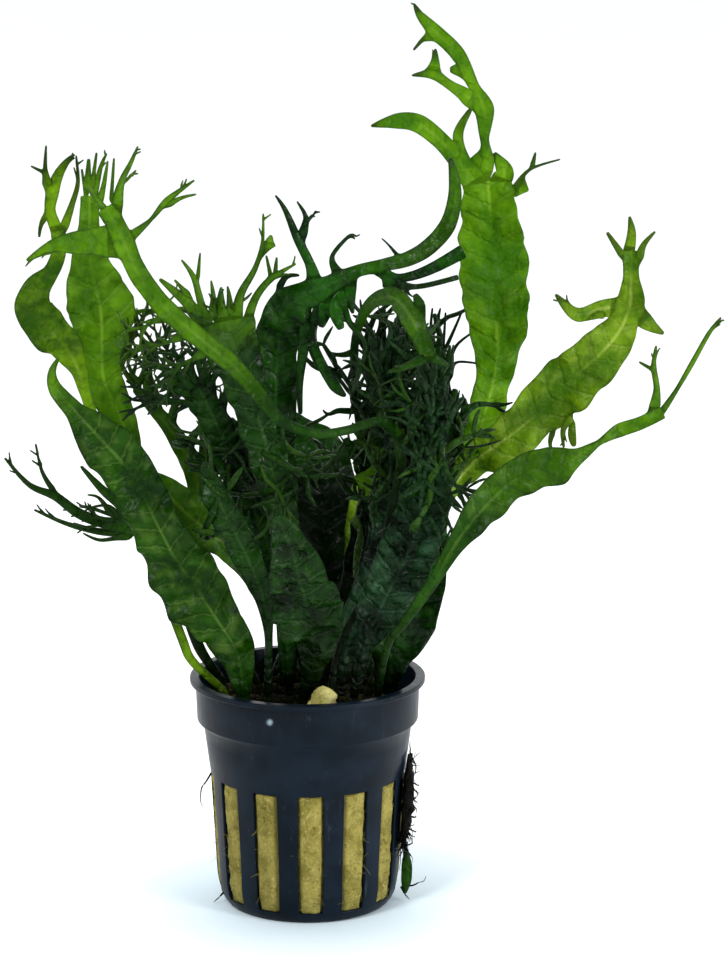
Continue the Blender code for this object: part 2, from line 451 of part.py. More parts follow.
def build_lumps():
    """The crumb of rockwool on the roots at the front, and the tuft of roots outside a slot."""
    wool = material("rockwool_crumb", (0.45, 0.38, 0.13), 0.95)
    centre, base = Vector((3.2, -18.6, 0)), MAT_TOP + GAP
    rings = []
    for z, half_width, half_depth in ((0, 3.7, 2.2), (3.0, 3.8, 2.3), (5.6, 3.3, 2.0), (7.8, 2.3, 1.5),
                                      (9.4, 1.0, 0.8)):
        rings.append([(centre.x + half_width * math.cos(turn * math.pi / 4) + 0.06 * z,
                       centre.y + half_depth * math.sin(turn * math.pi / 4) + 0.12 * z, base + z)
                      for turn in range(8)])
    turned_lump("rockwool_crumb", rings, wool)

    roots = material("root_tuft", (0.010, 0.008, 0.006), 0.9)
    rings = []
    for z, spread, out in ((13.4, 0.05, 0.8), (17, 0.10, 1.7), (21, 0.14, 2.3), (26, 0.15, 2.5),
                           (31, 0.12, 1.8), (36, 0.05, 0.6)):
        ring = []
        for turn in range(8):
            reach = body_radius(z) + GAP + 0.1 + out * (1 + math.cos(turn * math.pi / 4)) / 2
            angle = TUFT_TURN + spread * math.sin(turn * math.pi / 4)
            ring.append((reach * math.cos(angle), reach * math.sin(angle), z))
        rings.append(ring)
    turned_lump("root_tuft", rings, roots)


def build_rhizome(row):
    """A creeping stem under the feet of the fronds that it carries."""
    feet = sorted(frond["foot"] for frond in FRONDS.values() if frond["rhizome"] == row)
    path = [(feet[0][0] - 2.4, feet[0][1], 0.5)]
    for foot, following in zip(feet, feet[1:] + [None]):
        path.append((foot[0], foot[1], 1.0))
        if following:
            path.append(((foot[0] + following[0]) / 2, (foot[1] + following[1]) / 2, 0.85))
    path.append((feet[-1][0] + 2.4, feet[-1][1], 0.5))
    curve = bpy.data.curves.new("rhizome_" + row, "CURVE")
    curve.dimensions = "3D"
    curve.bevel_depth = RHIZOME_RADIUS * MM
    curve.bevel_resolution = 2
    curve.use_fill_caps = True
    spline = curve.splines.new("POLY")
    spline.points.add(len(path) - 1)
    for point, (x, y, girth) in zip(spline.points, path):
        point.co = (x * MM, y * MM, RHIZOME_HEIGHT * MM, 1)
        point.radius = girth
    finish = material("rhizome_" + row, (0.03, 0.035, 0.012), 0.7)
    stem = bpy.data.objects.new("rhizome_" + row, curve)
    curve.materials.append(finish)
    bpy.context.scene.collection.objects.link(stem)


def placed(x, z, depth):
    """The point this deep on the line of sight through (x, 0, z)."""
    return VIEWPOINT + (Vector((x, 0, z)) - VIEWPOINT) * (1 - depth / VIEWPOINT.y)


def seen_from_front(point):
    """Where the line of sight through this point meets the plane y = 0, as (x, z)."""
    on_plane = VIEWPOINT + (point - VIEWPOINT) * (VIEWPOINT.y / (VIEWPOINT.y - point.y))
    return Vector((on_plane.x, on_plane.z))


def smooth_path(stops, step):
    """Stations (place, width) along a smooth curve through the stops, about a step apart."""
    stations = [stops[0]]
    for index in range(len(stops) - 1):
        before = stops[max(index - 1, 0)][0]
        start, start_width = stops[index]
        end, end_width = stops[index + 1]
        after = stops[min(index + 2, len(stops) - 1)][0]
        parts = max(1, round((end - start).length / step))
        for part in range(1, parts + 1):
            t = part / parts
            place = (start * (2 - 5 * t * t + 3 * t ** 3) + before * (2 * t * t - t - t ** 3)
                     + end * (t + 4 * t * t - 3 * t ** 3) + after * (t ** 3 - t * t)) / 2
            stations.append((place, start_width + (end_width - start_width) * t))
    return stations


class Sheet:
    """A leaf surface without thickness. Each strip grows from an edge of it, so it stays in one piece."""

    def __init__(self, frond, seed):
        self.mesh = bmesh.new()
        self.group = self.mesh.verts.layers.deform.verify()
        self.ruffle = frond.get("ruffle", 0.08)
        self.fold = frond.get("fold", 0.10)
        self.phase = random.Random(seed).uniform(0, 2 * math.pi)

    def row(self, station, tangent, run, sides, thickness):
        """New points across the blade at a station, on these sides from -1 to 1."""
        place, width = station
        across = tangent.cross(Vector((0, -1, 0)))
        if across.length < 0.05:
            across = Vector((1, 0, 0))
        across.normalize()
        facing = across.cross(tangent).normalized()
        points = []
        for side in sides:
            wave = self.ruffle * math.sin(2 * math.pi * run / 26 + self.phase + 2.2 * (side > 0))
            lift = width * abs(side) * (self.fold + wave)
            point = self.mesh.verts.new(place + across * (side * width / 2) + facing * lift)
            point[self.group][0] = thickness / STALK_THICKNESS
            points.append(point)
        return points

    def join(self, first, second):
        """Faces between two rows. A row of two points opens into a row of three."""
        if len(first) == 2 and len(second) == 3:
            self.mesh.faces.new((first[0], first[1], second[1]))
            self.mesh.faces.new((first[0], second[1], second[0]))
            self.mesh.faces.new((first[1], second[2], second[1]))
            return
        for index in range(len(first) - 1):
            self.mesh.faces.new((first[index], first[index + 1], second[index + 1], second[index]))

    def blade(self, stops):
        """The stalk and blade along the midrib."""
        stations = smooth_path(stops, STEP)
        run, before, opened = 0, None, False
        for index, (place, width) in enumerate(stations):
            ahead = stations[min(index + 1, len(stations) - 1)][0]
            behind = stations[max(index - 1, 0)][0]
            if index:
                run += (place - behind).length
            opened = opened or width > STALK_WIDTH
            sides = (-1, 0, 1) if opened else (-1, 1)
            thickness = BLADE_THICKNESS if opened else STALK_THICKNESS
            row = self.row((place, width), (ahead - behind).normalized(), run, sides, thickness)
            if before:
                self.join(before, row)
            before = row

    def nearest_edge(self, x, z):
        """The free edge whose middle is seen nearest to (x, z)."""
        wanted = Vector((x, z))

        def away(edge):
            middle = (edge.verts[0].co + edge.verts[1].co) / 2
            return (seen_from_front(middle) - wanted).length

        return min((edge for edge in self.mesh.edges if edge.is_boundary), key=away)

    def lobe(self, root, gain, stops):
        """A flat twig or finger, grown from the free edge nearest to its root."""
        edge = self.nearest_edge(*root)
        start, end = edge.verts
        origin = (start.co + end.co) / 2
        path = [(origin, (start.co - end.co).length)]
        for index, (x, z, width) in enumerate(stops):
            path.append((placed(x, z, origin.y + gain * (index + 1) / len(stops)), width))
        stations = smooth_path(path, 2 * STEP)
        before = [start, end]
        for index in range(1, len(stations)):
            place, width = stations[index]
            ahead = stations[min(index + 1, len(stations) - 1)][0]
            tangent = (ahead - stations[index - 1][0]).normalized()
            row = self.row((place, width), tangent, 0, (-1, 1), TWIG_THICKNESS)
            if (row[1].co - row[0].co).dot(before[1].co - before[0].co) < 0:
                row.reverse()
            self.join(before, row)
            before = row

    def finish(self, name, colour):
        """The sheet as an object, with a modifier that gives it its thickness."""
        bmesh.ops.recalc_face_normals(self.mesh, faces=self.mesh.faces)
        bmesh.ops.scale(self.mesh, vec=(MM, MM, MM), verts=self.mesh.verts)
        mesh = bpy.data.meshes.new(name)
        self.mesh.to_mesh(mesh)
        self.mesh.free()
        leaf = add_object(name, mesh, material(name, colour, 0.35))
        leaf.vertex_groups.new(name="thickness")
        solid = leaf.modifiers.new("thickness", "SOLIDIFY")
        solid.thickness = STALK_THICKNESS * MM
        solid.offset = 0
        solid.vertex_group = "thickness"
        solid.use_quality_normals = True
        mesh.shade_smooth()
        return leaf


def crest_lobes(name, tip, heading, reach, spread):
    """The forking fingers at the end of a crested frond, as lobes. The draws are seeded by its name."""
    lobes = []
    draws = random.Random(name)

    def finger(x, z, angle, length, width, level):
        bend = angle + draws.uniform(-14, 14)
        middle = (x + length * 0.5 * math.cos(math.radians(angle)),
                  z + length * 0.5 * math.sin(math.radians(angle)))
        end = (middle[0] + length * 0.5 * math.cos(math.radians(bend)),
               middle[1] + length * 0.5 * math.sin(math.radians(bend)))
        last = 0.5 if level == 0 else 0.7 * width
        lobes.append(((x, z), draws.uniform(-3, 3), [(*middle, width), (*end, last)]))
        if level:
            for side in (-1, 1):
                finger(*end, bend + side * draws.uniform(0.6, 1.0) * spread * 0.7,
                       length * draws.uniform(0.6, 0.85), width * 0.7, level - 1)

    for side in (-1, 0, 1):
        finger(tip[0] + 1.2 * side, tip[1] - abs(side), heading - side * spread, reach, 2.0, 1)
    return lobes


def build_frond(name, frond):
    """One frond, from its foot on the rhizome to the tips of its lobes."""
    sheet = Sheet(frond, name)
    foot = Vector((*frond["foot"], BASE_HEIGHT))
    stops = [(foot, 1.6)]
    stops += [(placed(x, z, depth), width) for x, z, depth, width in frond["midrib"]]
    sheet.blade(stops)
    for root, gain, points in frond.get("lobes", []):
        sheet.lobe(root, gain, points)
    if "crest" in frond:
        for root, gain, points in crest_lobes(name, frond["midrib"][-1], **frond["crest"]):
            sheet.lobe(root, gain, points)
    sheet.finish(name, frond["colour"])


def build_stray_leaf():
    """The small leaf that hangs from the tuft of roots outside the pot."""
    sheet = Sheet(dict(ruffle=0.05, fold=0.1), "stray_leaf")
    points = [(22.9, -4.7, 12.4, 0.9), (23.1, -4.9, 9.4, 2.6), (23, -5, 5.5, 2.6), (22.6, -5, 2.2, 0.7)]
    sheet.blade([(Vector((x, y, z)), width) for x, y, z, width in points])
    sheet.finish("stray_leaf", (0.03, 0.12, 0.01))


def main():
    clear_scene()
    build_pot()
    build_rockwool()
    build_root_mat()
    build_lumps()
    for row in RHIZOMES:
        build_rhizome(row)
    for name, frond in FRONDS.items():
        build_frond(name, frond)
    build_stray_leaf()


main()
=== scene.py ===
"""The looks of the potted windelov java fern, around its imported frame.

Lengths are in millimetres unless a name says otherwise; meshes are scaled to metres as they are made.
"""

import math
import random

import bmesh
import bpy
from mathutils import Matrix, Vector, noise


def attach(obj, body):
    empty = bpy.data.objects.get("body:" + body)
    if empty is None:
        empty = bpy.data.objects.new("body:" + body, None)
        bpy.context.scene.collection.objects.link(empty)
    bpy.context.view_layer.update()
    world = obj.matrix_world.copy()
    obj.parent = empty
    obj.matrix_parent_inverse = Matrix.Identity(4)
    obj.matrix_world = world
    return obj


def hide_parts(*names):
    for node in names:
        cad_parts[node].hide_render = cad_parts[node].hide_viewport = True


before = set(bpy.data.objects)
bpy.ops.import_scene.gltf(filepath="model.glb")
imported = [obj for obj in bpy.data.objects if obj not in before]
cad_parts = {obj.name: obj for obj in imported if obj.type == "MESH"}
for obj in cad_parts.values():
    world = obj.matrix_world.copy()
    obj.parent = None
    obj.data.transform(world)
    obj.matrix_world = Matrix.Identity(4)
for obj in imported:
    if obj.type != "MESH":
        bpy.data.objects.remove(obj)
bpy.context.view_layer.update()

MM = 0.001

# The photograph's viewpoint and lens
VIEWPOINT = Vector((13.1, -720.0, 252.6))
CAMERA_PITCH = math.radians(90 - 11.96)
FOCAL_LENGTH = 120.4
SENSOR_WIDTH = 36.0

# Nursery pot, as in the CAD model
POT_HEIGHT = 54.0
POT_WALL = 1.0
POT_FLOOR = 1.2
LIP_RADIUS = 27.3
LIP_HEIGHT = 1.5
COLLAR_RADIUS = 26.0
COLLAR_BOTTOM = 42.6
COLLAR_STEP = 1.4
COLLAR_CHAMFER = 0.3
BODY_TOP_RADIUS = 24.2
BODY_SHOULDER_RADIUS = 22.7
BODY_BOTTOM_RADIUS = 21.5
BASE_EDGE = 9.0
BASE_RADIUS = 18.4
SLOT_COUNT = 13
HALF_PITCH = math.pi / SLOT_COUNT
SLOT_TURN = math.radians(-87.4)
TUFT_TURN = math.radians(-11)
SLOT_WIDTH = 6.0
SLOT_BOTTOM_WIDTH = 5.4
SLOT_LOW = 2.6
SLOT_HIGH = 31.2
EDGE_HEIGHTS = [0.15, 0.5, 1.1, 2.0]
SLOT_HEIGHTS = [SLOT_LOW, 3.4, 4.5, 6.5, BASE_EDGE, 12.0, 16.0, 20.0, 24.0, 28.0, SLOT_HIGH]
# A painted glint on the pot: a small pale spot centred here, full within the core radius and gone by the
# edge radius
POT_GLINT = Vector((-8.1, -24.7, 49.5))
POT_GLINT_CORE = 0.2
POT_GLINT_EDGE = 1.1
WOOL_TOP = 43.6
WOOL_SET_BACK = 0.32
MAT_TOP = 46.4
MAT_RADIUS = 23.8
RHIZOME_RADIUS = 1.9
RHIZOME_HEIGHT = MAT_TOP + 0.3 + RHIZOME_RADIUS
FOOT_HEIGHT = RHIZOME_HEIGHT + RHIZOME_RADIUS + 0.4

# How many threads each piece has: the rockwool for one slot, and a rhizome for one stem
WOOL_THREADS = 70
MAT_THREADS = 760
STEM_THREADS = 60
TUFT_THREADS = 150

# Leaf surface
STALK_WIDTH = 2.6
STALK_THICKNESS = 1.5
BLADE_THICKNESS = 0.34
RIB_HALF_WIDTH = 0.95
GRAIN = 1.15
TWIG_STEP = 1.5
VEIN_GAP = 4.6
VEIN_LEAN = 0.6
# How far along the leaf its slow twist goes on by one radian
TWIST_PACE = 17
# The creases between the veins: how much each kind counts, and how wide it is
CREASES = ((0.9, 3), (0.8, 1.6), (0.7, 9))
# The margins: how long their waves, ripples, notches and nicks are, what share of the width the ripples
# lift them and the last three push them out, and the angle by which one margin lags behind the other
WAVE_LENGTH = 26
RIPPLE_LENGTH = 8.3
NOTCH_LENGTH = 3.1
NICK_LENGTH = 1.1
RIPPLE_LIFT = 0.15
RIPPLE_REACH = 0.025
NOTCH_REACH = 0.09
NICK_REACH = 0.06
MARGIN_LAG = 2.2

# Each frond has its foot (x, y) on a rhizome, a midrib of points (x, z, depth, blade width), and lobes.
# A lobe has (x, z, depth gained) where it leaves the blade, and then points (x, z, width). Its first
# value may have a fourth part: how fresh the lobe's green is. The pairs fresh and deep are heights, and
# young is lengths along the leaf, between which its green turns fresh or rises out of the shade.
FRONDS = {
    "frond_tall": dict(
        rhizome="middle_back", foot=(7, 5), ruffle=0.1, palette="bright", deep=(70, 104),
        midrib=[(14, 66, 7, 1.8), (22, 82, 9, 2.2), (31, 97, 12, 3.5), (38, 108, 14, 6), (41.2, 118, 15, 9),
            (43, 127, 16, 9.8), (43.2, 135, 16, 12.8), (42.7, 143, 16, 16.4), (42.3, 152, 16, 16.4),
            (41.7, 160, 15, 14), (41, 168.5, 14, 11.5)],
        lobes=[
            [(36.8, 169.2, -5), (34.6, 173, 4.6), (30.6, 177.6, 4), (25.2, 181.8, 4.4), (20.4, 182.3, 3.7),
                (14.6, 181.1, 0.4)],
            [(41.4, 169.4, -4), (41.1, 173.4, 2.8), (40.1, 178, 2), (40, 185, 5), (37.7, 189.8, 2.6),
                (34, 197.2, 3.6), (28.9, 202.2, 3.5), (25.4, 206, 1.9), (24.2, 208.4, 0.4)],
            [(38.6, 169.4, 5), (36.4, 173, 2.2), (34.1, 179, 2.6), (37, 185, 0.9)],
            [(37.8, 187, -1), (35.6, 188.2, 3.4), (32.4, 190.2, 2.2), (28.4, 192.7, 2.3),
                (23.7, 192.4, 0.4)],
            [(29, 193.4, 1), (29, 195.6, 2), (29, 198.4, 0.6)],
            [(28.6, 201.2, -1), (26.2, 200.4, 1.1), (24.1, 198, 0.5)],
            [(47.4, 167.6, 2), (50.4, 171.4, 0.8), (57.2, 173.7, 0.4)]]),
    "frond_right": dict(
        rhizome="middle_front", foot=(14, -4.5), ruffle=0.1, fold=0.12, palette="yellow", deep=(72, 92),
        midrib=[(20, 66, -3, 1.8), (25.6, 81, -2, 2.2), (29.6, 91.4, -2, 2.8), (33.6, 98.8, -3, 4.6),
            (38.2, 104.4, -4, 7.6), (44, 108.8, -6, 10.4), (50.5, 114, -8, 12.4), (56.2, 119.8, -10, 12.4),
            (62, 125, -12, 12.4), (67.1, 129.8, -13, 11.4), (70.8, 134.2, -13, 8.6), (72.6, 138, -13, 6),
            (73.6, 142, -13, 6.6), (73.5, 147, -13, 3.6), (73.2, 153, -13, 3.4)],
        lobes=[
            [(71.7, 152, 0), (67.9, 157.2, 0.7)],
            [(73, 153.5, 0), (73.5, 157.2, 2), (72.9, 160.8, 0.5)],
            [(74.8, 151, 0), (76.2, 154.4, 1.4), (78.8, 157.4, 0.5)],
            [(71.2, 139.4, -5), (67.2, 140, 4), (61.4, 138.4, 3.4), (56.4, 143.1, 0.5)],
            [(76, 137.6, 3), (78, 136, 3), (81.2, 134, 0.6)],
            [(60, 116.5, -1), (58.6, 112, 1.4), (58.8, 107.6, 0.6)],
            [(56.5, 113, 1), (55.6, 108.6, 1), (56.4, 106.2, 0.5)]]),
    "frond_right_low": dict(
        rhizome="front", foot=(16, -12), ruffle=0.1, palette="medium", fresh=(92, 110),
        midrib=[(18.6, 61, -19, 1.8), (22.3, 66.4, -22, 2), (26, 71.7, -24, 2.6), (29.8, 77.3, -26, 2.8),
            (33.2, 83.4, -28, 3.6), (36.6, 88.6, -29, 5.6), (40.6, 93.6, -29, 9), (45.8, 98.8, -29, 8),
            (51.4, 102.2, -28, 8.8), (57.2, 103.6, -27, 8.6), (62.2, 105.8, -26, 3.8),
            (66.8, 108.8, -25, 1.3), (71.2, 111.6, -24, 3.2), (76.2, 113.4, -23, 2.9), (81.2, 116, -22, 3)],
        lobes=[
            [(80.4, 117, -2), (79.8, 121.4, 1.5), (79, 126.6, 1.3), (79.5, 131.3, 0.5)],
            [(78.8, 126, 1), (75.6, 127.6, 0.5)],
            [(81.8, 116.6, 3), (84.4, 121.2, 1), (87.7, 127.2, 1.2), (91.5, 134.3, 1),
                (94.1, 137.8, 0.4)]]),
    "frond_right_dark": dict(
        rhizome="middle_front", foot=(19, -4.5), palette="black",
        midrib=[(19.5, 58, -7, 9), (23.6, 66, -9, 12), (27, 75, -10, 9.6), (29, 86, -11, 6.4),
            (29.6, 97, -11, 6), (31.5, 108, -11, 6.4), (33, 116, -11, 4.6)],
        crest=dict(heading=85, reach=9, spread=42)),
    "frond_front_right": dict(
        rhizome="front", foot=(10.5, -13), ruffle=0.07, fold=0.08, quilt=1.3, palette="blue", deep=(56, 76),
        midrib=[(13.5, 61, -17, 4), (16.5, 69, -18, 11), (20.5, 77, -20, 13), (24, 85, -21, 13),
            (26.6, 93.5, -21, 12), (28, 102, -21, 10), (29, 110, -18, 7), (28.5, 116, -16, 4)],
        crest=dict(heading=100, reach=8, spread=45)),
    "frond_front_centre": dict(
        rhizome="front", foot=(-1, -13), ruffle=0.06, fold=0.08, quilt=1.3, palette="dark", deep=(52, 72),
        midrib=[(1.5, 57, -18, 6), (1.2, 64, -22, 13), (0.2, 70, -26, 16.5), (-1.5, 76, -30, 14),
            (-3, 82, -34, 11), (-5, 87.3, -37, 7), (-7.2, 91.6, -39, 2.5)]),
    "frond_front_left": dict(
        rhizome="front", foot=(-14, -13), ruffle=0.09, fold=0.16, palette="medium", fresh=(74, 52),
        deep=(46, 52), young=(82, 94),
        midrib=[(-16.6, 60, -16, 9), (-20.6, 67, -18, 13), (-25.2, 74, -19, 15.4), (-29.6, 80.5, -20, 15),
            (-33.2, 87.5, -21, 12.6), (-36.6, 94.5, -21, 11), (-39.8, 101.2, -22, 10.8),
            (-44.8, 107.2, -23, 12.4), (-48.9, 111.8, -24, 9.4), (-53, 116.4, -25, 4.4),
            (-57.2, 121.4, -26, 3.2), (-57.9, 125.4, -27, 1.7), (-56.3, 128.5, -27, 0.5)]),
    "frond_left_inner": dict(
        rhizome="middle_front", foot=(-9, -4.5), fold=0.12, palette="olive",
        midrib=[(-9, 62, -7, 1.6), (-9.6, 69, -8, 1.8), (-13.6, 77.6, -9, 3.4), (-18, 83.8, -10, 5.6),
            (-23.2, 88.4, -11, 8.4), (-27.8, 92.4, -12, 10.4), (-31.8, 96.6, -12, 8.4),
            (-35.4, 101, -12, 3)]),
    "frond_left_dark": dict(
        rhizome="front", foot=(-9, -13), ruffle=0.07, fold=0.08, palette="dark",
        midrib=[(-9, 63, -15, 1.9), (-10.3, 73, -17, 4.4), (-13.6, 81.5, -19, 6.6), (-17.4, 89.5, -20, 7.8),
            (-21, 97, -21, 6.4), (-23.5, 104.3, -21, 1)]),
    "frond_low_left": dict(
        rhizome="middle_back", foot=(-16, 5), palette="medium", fresh=(86, 62), deep=(46, 52),
        midrib=[(-21.4, 61, 5, 3.6), (-25.4, 69, 4, 3.8), (-29.6, 77, 3, 4.4), (-33.9, 83.5, 3, 5),
            (-38.4, 89, 2, 4.4)],
        lobes=[
            [(-39.8, 87.8, 5), (-46, 87.8, 1.9), (-54.6, 89.6, 1.2), (-62.7, 93.1, 0.5)],
            [(-40, 90, 1), (-47, 90.2, 2.8), (-52.6, 92.4, 2.6), (-57.8, 96.4, 2.2), (-63.6, 98.9, 1.4),
                (-69.2, 105.3, 0.5)],
            [(-38.4, 91, -3), (-42.6, 94.4, 3.2), (-46.6, 97.6, 2.2), (-51.8, 103.4, 0.7)],
            [(-58.7, 97, -2), (-60.6, 102, 1), (-62, 108.6, 0.5)],
            [(-43, 91, 0), (-48.6, 93.2, 1), (-52.4, 94.2, 0.5)]]),
    "frond_hook": dict(
        rhizome="middle_front", foot=(-19, -4.5), ruffle=0.1, fold=0.08, palette="patched", deep=(46, 52),
        midrib=[(-26.6, 57, -4, 2.2), (-29, 62.5, -4, 2.2), (-34, 77, -5, 2.2), (-38.2, 88, -6, 2.4),
            (-43, 100, -7, 2.4), (-47, 110, -8, 2.4), (-50.2, 119.5, -9, 2.4), (-51.7, 125.4, -10, 4),
            (-54.6, 131, -12, 7.4), (-58.9, 135.4, -14, 9.4), (-61.9, 140, -15, 8.6),
            (-60.8, 144.6, -15, 6.2), (-57.6, 148.2, -15, 3.6), (-55.7, 153, -15, 3.4),
            (-56, 157.5, -15, 3)],
        lobes=[
            [(-56.6, 158.5, -1), (-57.6, 162, 2.4), (-57, 166, 3), (-55.7, 170, 2.4), (-53.6, 173.2, 1.4),
                (-51.8, 174.8, 0.5)],
            [(-57.8, 167.6, -2), (-58.5, 171.4, 1.1), (-58.2, 176.8, 0.4)],
            [(-58.6, 170.8, -1), (-61.8, 172.2, 0.4)],
            [(-55.2, 158.5, 1), (-52.6, 163.6, 1.4), (-51.2, 168.5, 1), (-51.5, 174.6, 0.4)]]),
    "frond_top_left": dict(
        rhizome="middle_back", foot=(-20, 5), ruffle=0.09, fold=0.14, palette="bright", fresh=(118, 140),
        deep=(78, 116),
        midrib=[(-24.8, 60, 5, 2.6), (-29, 72, 7, 2.4), (-34, 86, 9, 2.4), (-38.4, 100, 11, 4),
            (-41.8, 113, 12, 7), (-46, 123, 13, 9), (-46.4, 130, 14, 12), (-46.4, 135.5, 14, 14.2),
            (-46.9, 141, 14, 16), (-48.2, 146, 14, 12.8), (-48.9, 152, 14, 8.2), (-48.8, 159, 14, 4.8),
            (-48.6, 165.5, 14, 4)],
        lobes=[
            [(-49.6, 166, 1), (-50.3, 171.5, 0.5)],
            [(-47.6, 166, -1), (-46, 172, 1), (-44.6, 175, 0.4)]]),
    "frond_ribbon": dict(
        rhizome="front", foot=(5, -13), ruffle=0.07, palette="medium", fresh=(116, 140), deep=(92, 112),
        midrib=[(8, 62, -12, 1.8), (13, 72, -12, 2), (17, 82, -12.5, 2), (20, 95, -13, 2.2),
            (21.6, 104, -15, 2.4), (20.6, 111, -19, 2.4), (16.5, 113.8, -25, 2.2), (9, 111.7, -31, 2),
            (2, 110.9, -34, 2.1), (-5, 113.4, -35, 2.6), (-9.5, 118.2, -36, 3.2), (-13.5, 123.3, -36, 3.6),
            (-18, 128, -36, 4.2), (-23, 132.2, -36, 4.5), (-27.8, 136.2, -36, 4.5),
            (-32.8, 140.8, -36, 4.3), (-36.2, 145.2, -36, 4.4), (-38.9, 149.8, -36, 4.5),
            (-40.8, 154.6, -36, 4.7), (-42.8, 159, -36, 4.4), (-45.2, 162.8, -36, 3.8)],
        lobes=[
            [(-46.6, 163.6, -1), (-48.8, 167.5, 0.8)],
            [(-43.4, 162.6, 2), (-41.5, 168.4, 1.5), (-39.2, 173, 1), (-37.6, 176.6, 0.4)],
            [(-41.2, 169, 1), (-38, 171.3, 0.4)],
            [(-44.2, 164.4, -1), (-43, 174, 0.5)],
            [(-42, 156, -2), (-48, 155.2, 6), (-52.5, 154.8, 5), (-57, 154.2, 3), (-63.2, 150.8, 0.5)],
            [(-38.6, 157.4, 3), (-35, 160, 0.9), (-31.2, 164.4, 1.6), (-25, 169, 0.4)],
            [(-31.6, 163, 1), (-28, 165, 0.9), (-24.6, 165.8, 0.4)]]),
    "frond_mid_left": dict(
        rhizome="middle_front", foot=(-4, -4.5), palette="dark", fresh=(128, 148),
        midrib=[(-4.8, 60, -8, 4), (-5, 70, -10, 5), (-5, 80, -12, 6), (-5.5, 90, -13, 7),
            (-8, 103, -15, 8.5), (-11, 114, -16, 9.5), (-14, 123.5, -17, 10.5), (-16.5, 131, -18, 12),
            (-18, 137, -19, 12.5)],
        lobes=[
            [(-23, 137.5, -3), (-23.8, 141, 1.8), (-25.4, 147, 1.4), (-28.2, 151, 0.4)],
            [(-25, 146, 1), (-23.9, 152.6, 0.4)],
            [(-20.8, 138, -1), (-21, 142, 1.4), (-21.5, 146.3, 0.4)],
            [(-16.2, 138, 2), (-14.8, 143.2, 1.9), (-11.5, 149, 1.3), (-9.8, 155, 0.8), (-9.6, 161.5, 0.4)],
            [(-13, 137.5, -2), (-11.4, 142.4, 1.8), (-8, 146.6, 1.6), (-2.2, 150.1, 0.4)]]),
    "frond_arch": dict(
        rhizome="middle_back", foot=(0, 5), palette="black", young=(106, 230),
        midrib=[(-1.5, 60, 4, 3), (-3, 70, 3, 4), (-4, 80, 3, 5), (-5, 92, 2, 7), (-6.5, 105, 0, 8),
            (-7, 117, -2, 10), (-6.8, 128, -4, 9.5), (-6.2, 136, -6, 9.5), (-2.6, 141.8, -8, 9.2),
            (4.5, 145, -9, 4.6), (11, 148.2, -9, 2.8), (17, 149.7, -8, 2.8), (23.2, 151.3, -6, 3.6),
            (28.2, 154.3, -4, 4), (32, 159, -3, 3.8), (33.5, 164.8, -3, 3.2), (33.3, 170, -3, 2.4),
            (32.4, 174, -3, 0.8)],
        lobes=[
            [(2.2, 147, -3), (0.9, 150, 2.3), (-1.9, 155.8, 2.1), (-4.7, 162.4, 1.2), (-6.9, 165.6, 0.4)],
            [(-1.2, 156.4, -1), (0, 160.6, 1.2), (-2, 164.2, 0.4)],
            [(0.6, 160.4, 1), (2.4, 162, 0.4)],
            [(6.6, 147.8, 2), (5.9, 151.8, 1.1), (10, 156.6, 0.8), (11.3, 156.2, 0.4)],
            [(16.6, 148, 3), (20.4, 146.8, 2), (25, 147.6, 2.3), (30, 149.8, 2.8), (35.6, 153, 3.4)],
            [(17.4, 146.4, 2), (24.5, 144.8, 1.3), (34.5, 147, 1.3)],
            [(-2, 137.8, 4), (-0.8, 129.5, 2.4), (-1.6, 122.6, 1.8), (-1.4, 115.4, 1)],
            [(2.6, 141.4, -2), (1.5, 133.4, 1.7), (3.2, 127.6, 2.4), (6.6, 121.8, 2.8), (9, 119.6, 0.8)],
            [(7.6, 143.4, -6), (9.6, 137, 1.5), (13.4, 131.6, 1), (12, 125, 1.2), (10.4, 120.4, 0.5)]]),
    "frond_drooping": dict(
        rhizome="back", foot=(10.8, 14), ruffle=0.07, palette="medium", young=(96, 220),
        midrib=[(11.8, 66, 12.5, 1.8), (12.8, 80, 12, 2), (13, 95, 11, 2), (12.4, 110, 10, 2.2),
            (11.2, 121, 6, 2), (10.8, 128, -1, 2), (11.4, 134, -6, 2), (13, 138.6, -12.5, 2.4),
            (16, 142, -19.5, 3.2), (20.2, 142.2, -29, 5), (24.2, 137, -36, 5), (27.8, 128.8, -39, 3.2)],
        lobes=[
            [(12.6, 130, 2), (8.6, 129.2, 1.4), (4.6, 129.5, 0.5)],
            [(26.4, 128.4, -1), (22.5, 126.4, 1.6), (18.5, 125.2, 0.5)],
            [(29, 128.8, 1), (32.5, 126.6, 0.5)]]),
    "frond_crested_right": dict(
        rhizome="middle_front", foot=(8, -4.5), fold=0.08, palette="blue",
        midrib=[(9, 60, -4, 5), (12, 68, -4, 8), (17, 82, -5, 8.4), (20.5, 95, -6, 9), (21.8, 106, -7, 9),
            (21, 116, -7, 5.5), (19.5, 123, -6, 4)],
        crest=dict(heading=76, reach=7, spread=30)),
    "frond_crested_back": dict(
        rhizome="middle_back", foot=(13, 5), palette="dark",
        midrib=[(19, 66, 9, 1.8), (26, 84, 14, 4), (29.6, 98, 18, 7), (31.2, 110, 20, 8),
            (30.6, 119, 21, 6), (29.6, 126.5, 21, 4)],
        crest=dict(heading=82, reach=9, spread=40)),
    "frond_crested_middle": dict(
        rhizome="middle_back", foot=(3.4, 5), palette="dark", deep=(86, 108),
        midrib=[(8.5, 62, 5, 4), (9.5, 68, 5, 6), (12, 80, 5, 7.4), (15.4, 94, 4, 8.4), (16.6, 106, 3, 9.4),
            (16.6, 117, 2, 8), (17, 126, 0, 4.5)],
        crest=dict(heading=80, reach=9, spread=30)),
    "frond_crested_left": dict(
        rhizome="middle_back", foot=(-12, 5), fold=0.08, palette="olive", deep=(70, 125),
        midrib=[(-16.5, 61, 6, 1.8), (-20.5, 70, 8, 2.2), (-24.5, 82, 10, 3), (-25, 93, 11, 5),
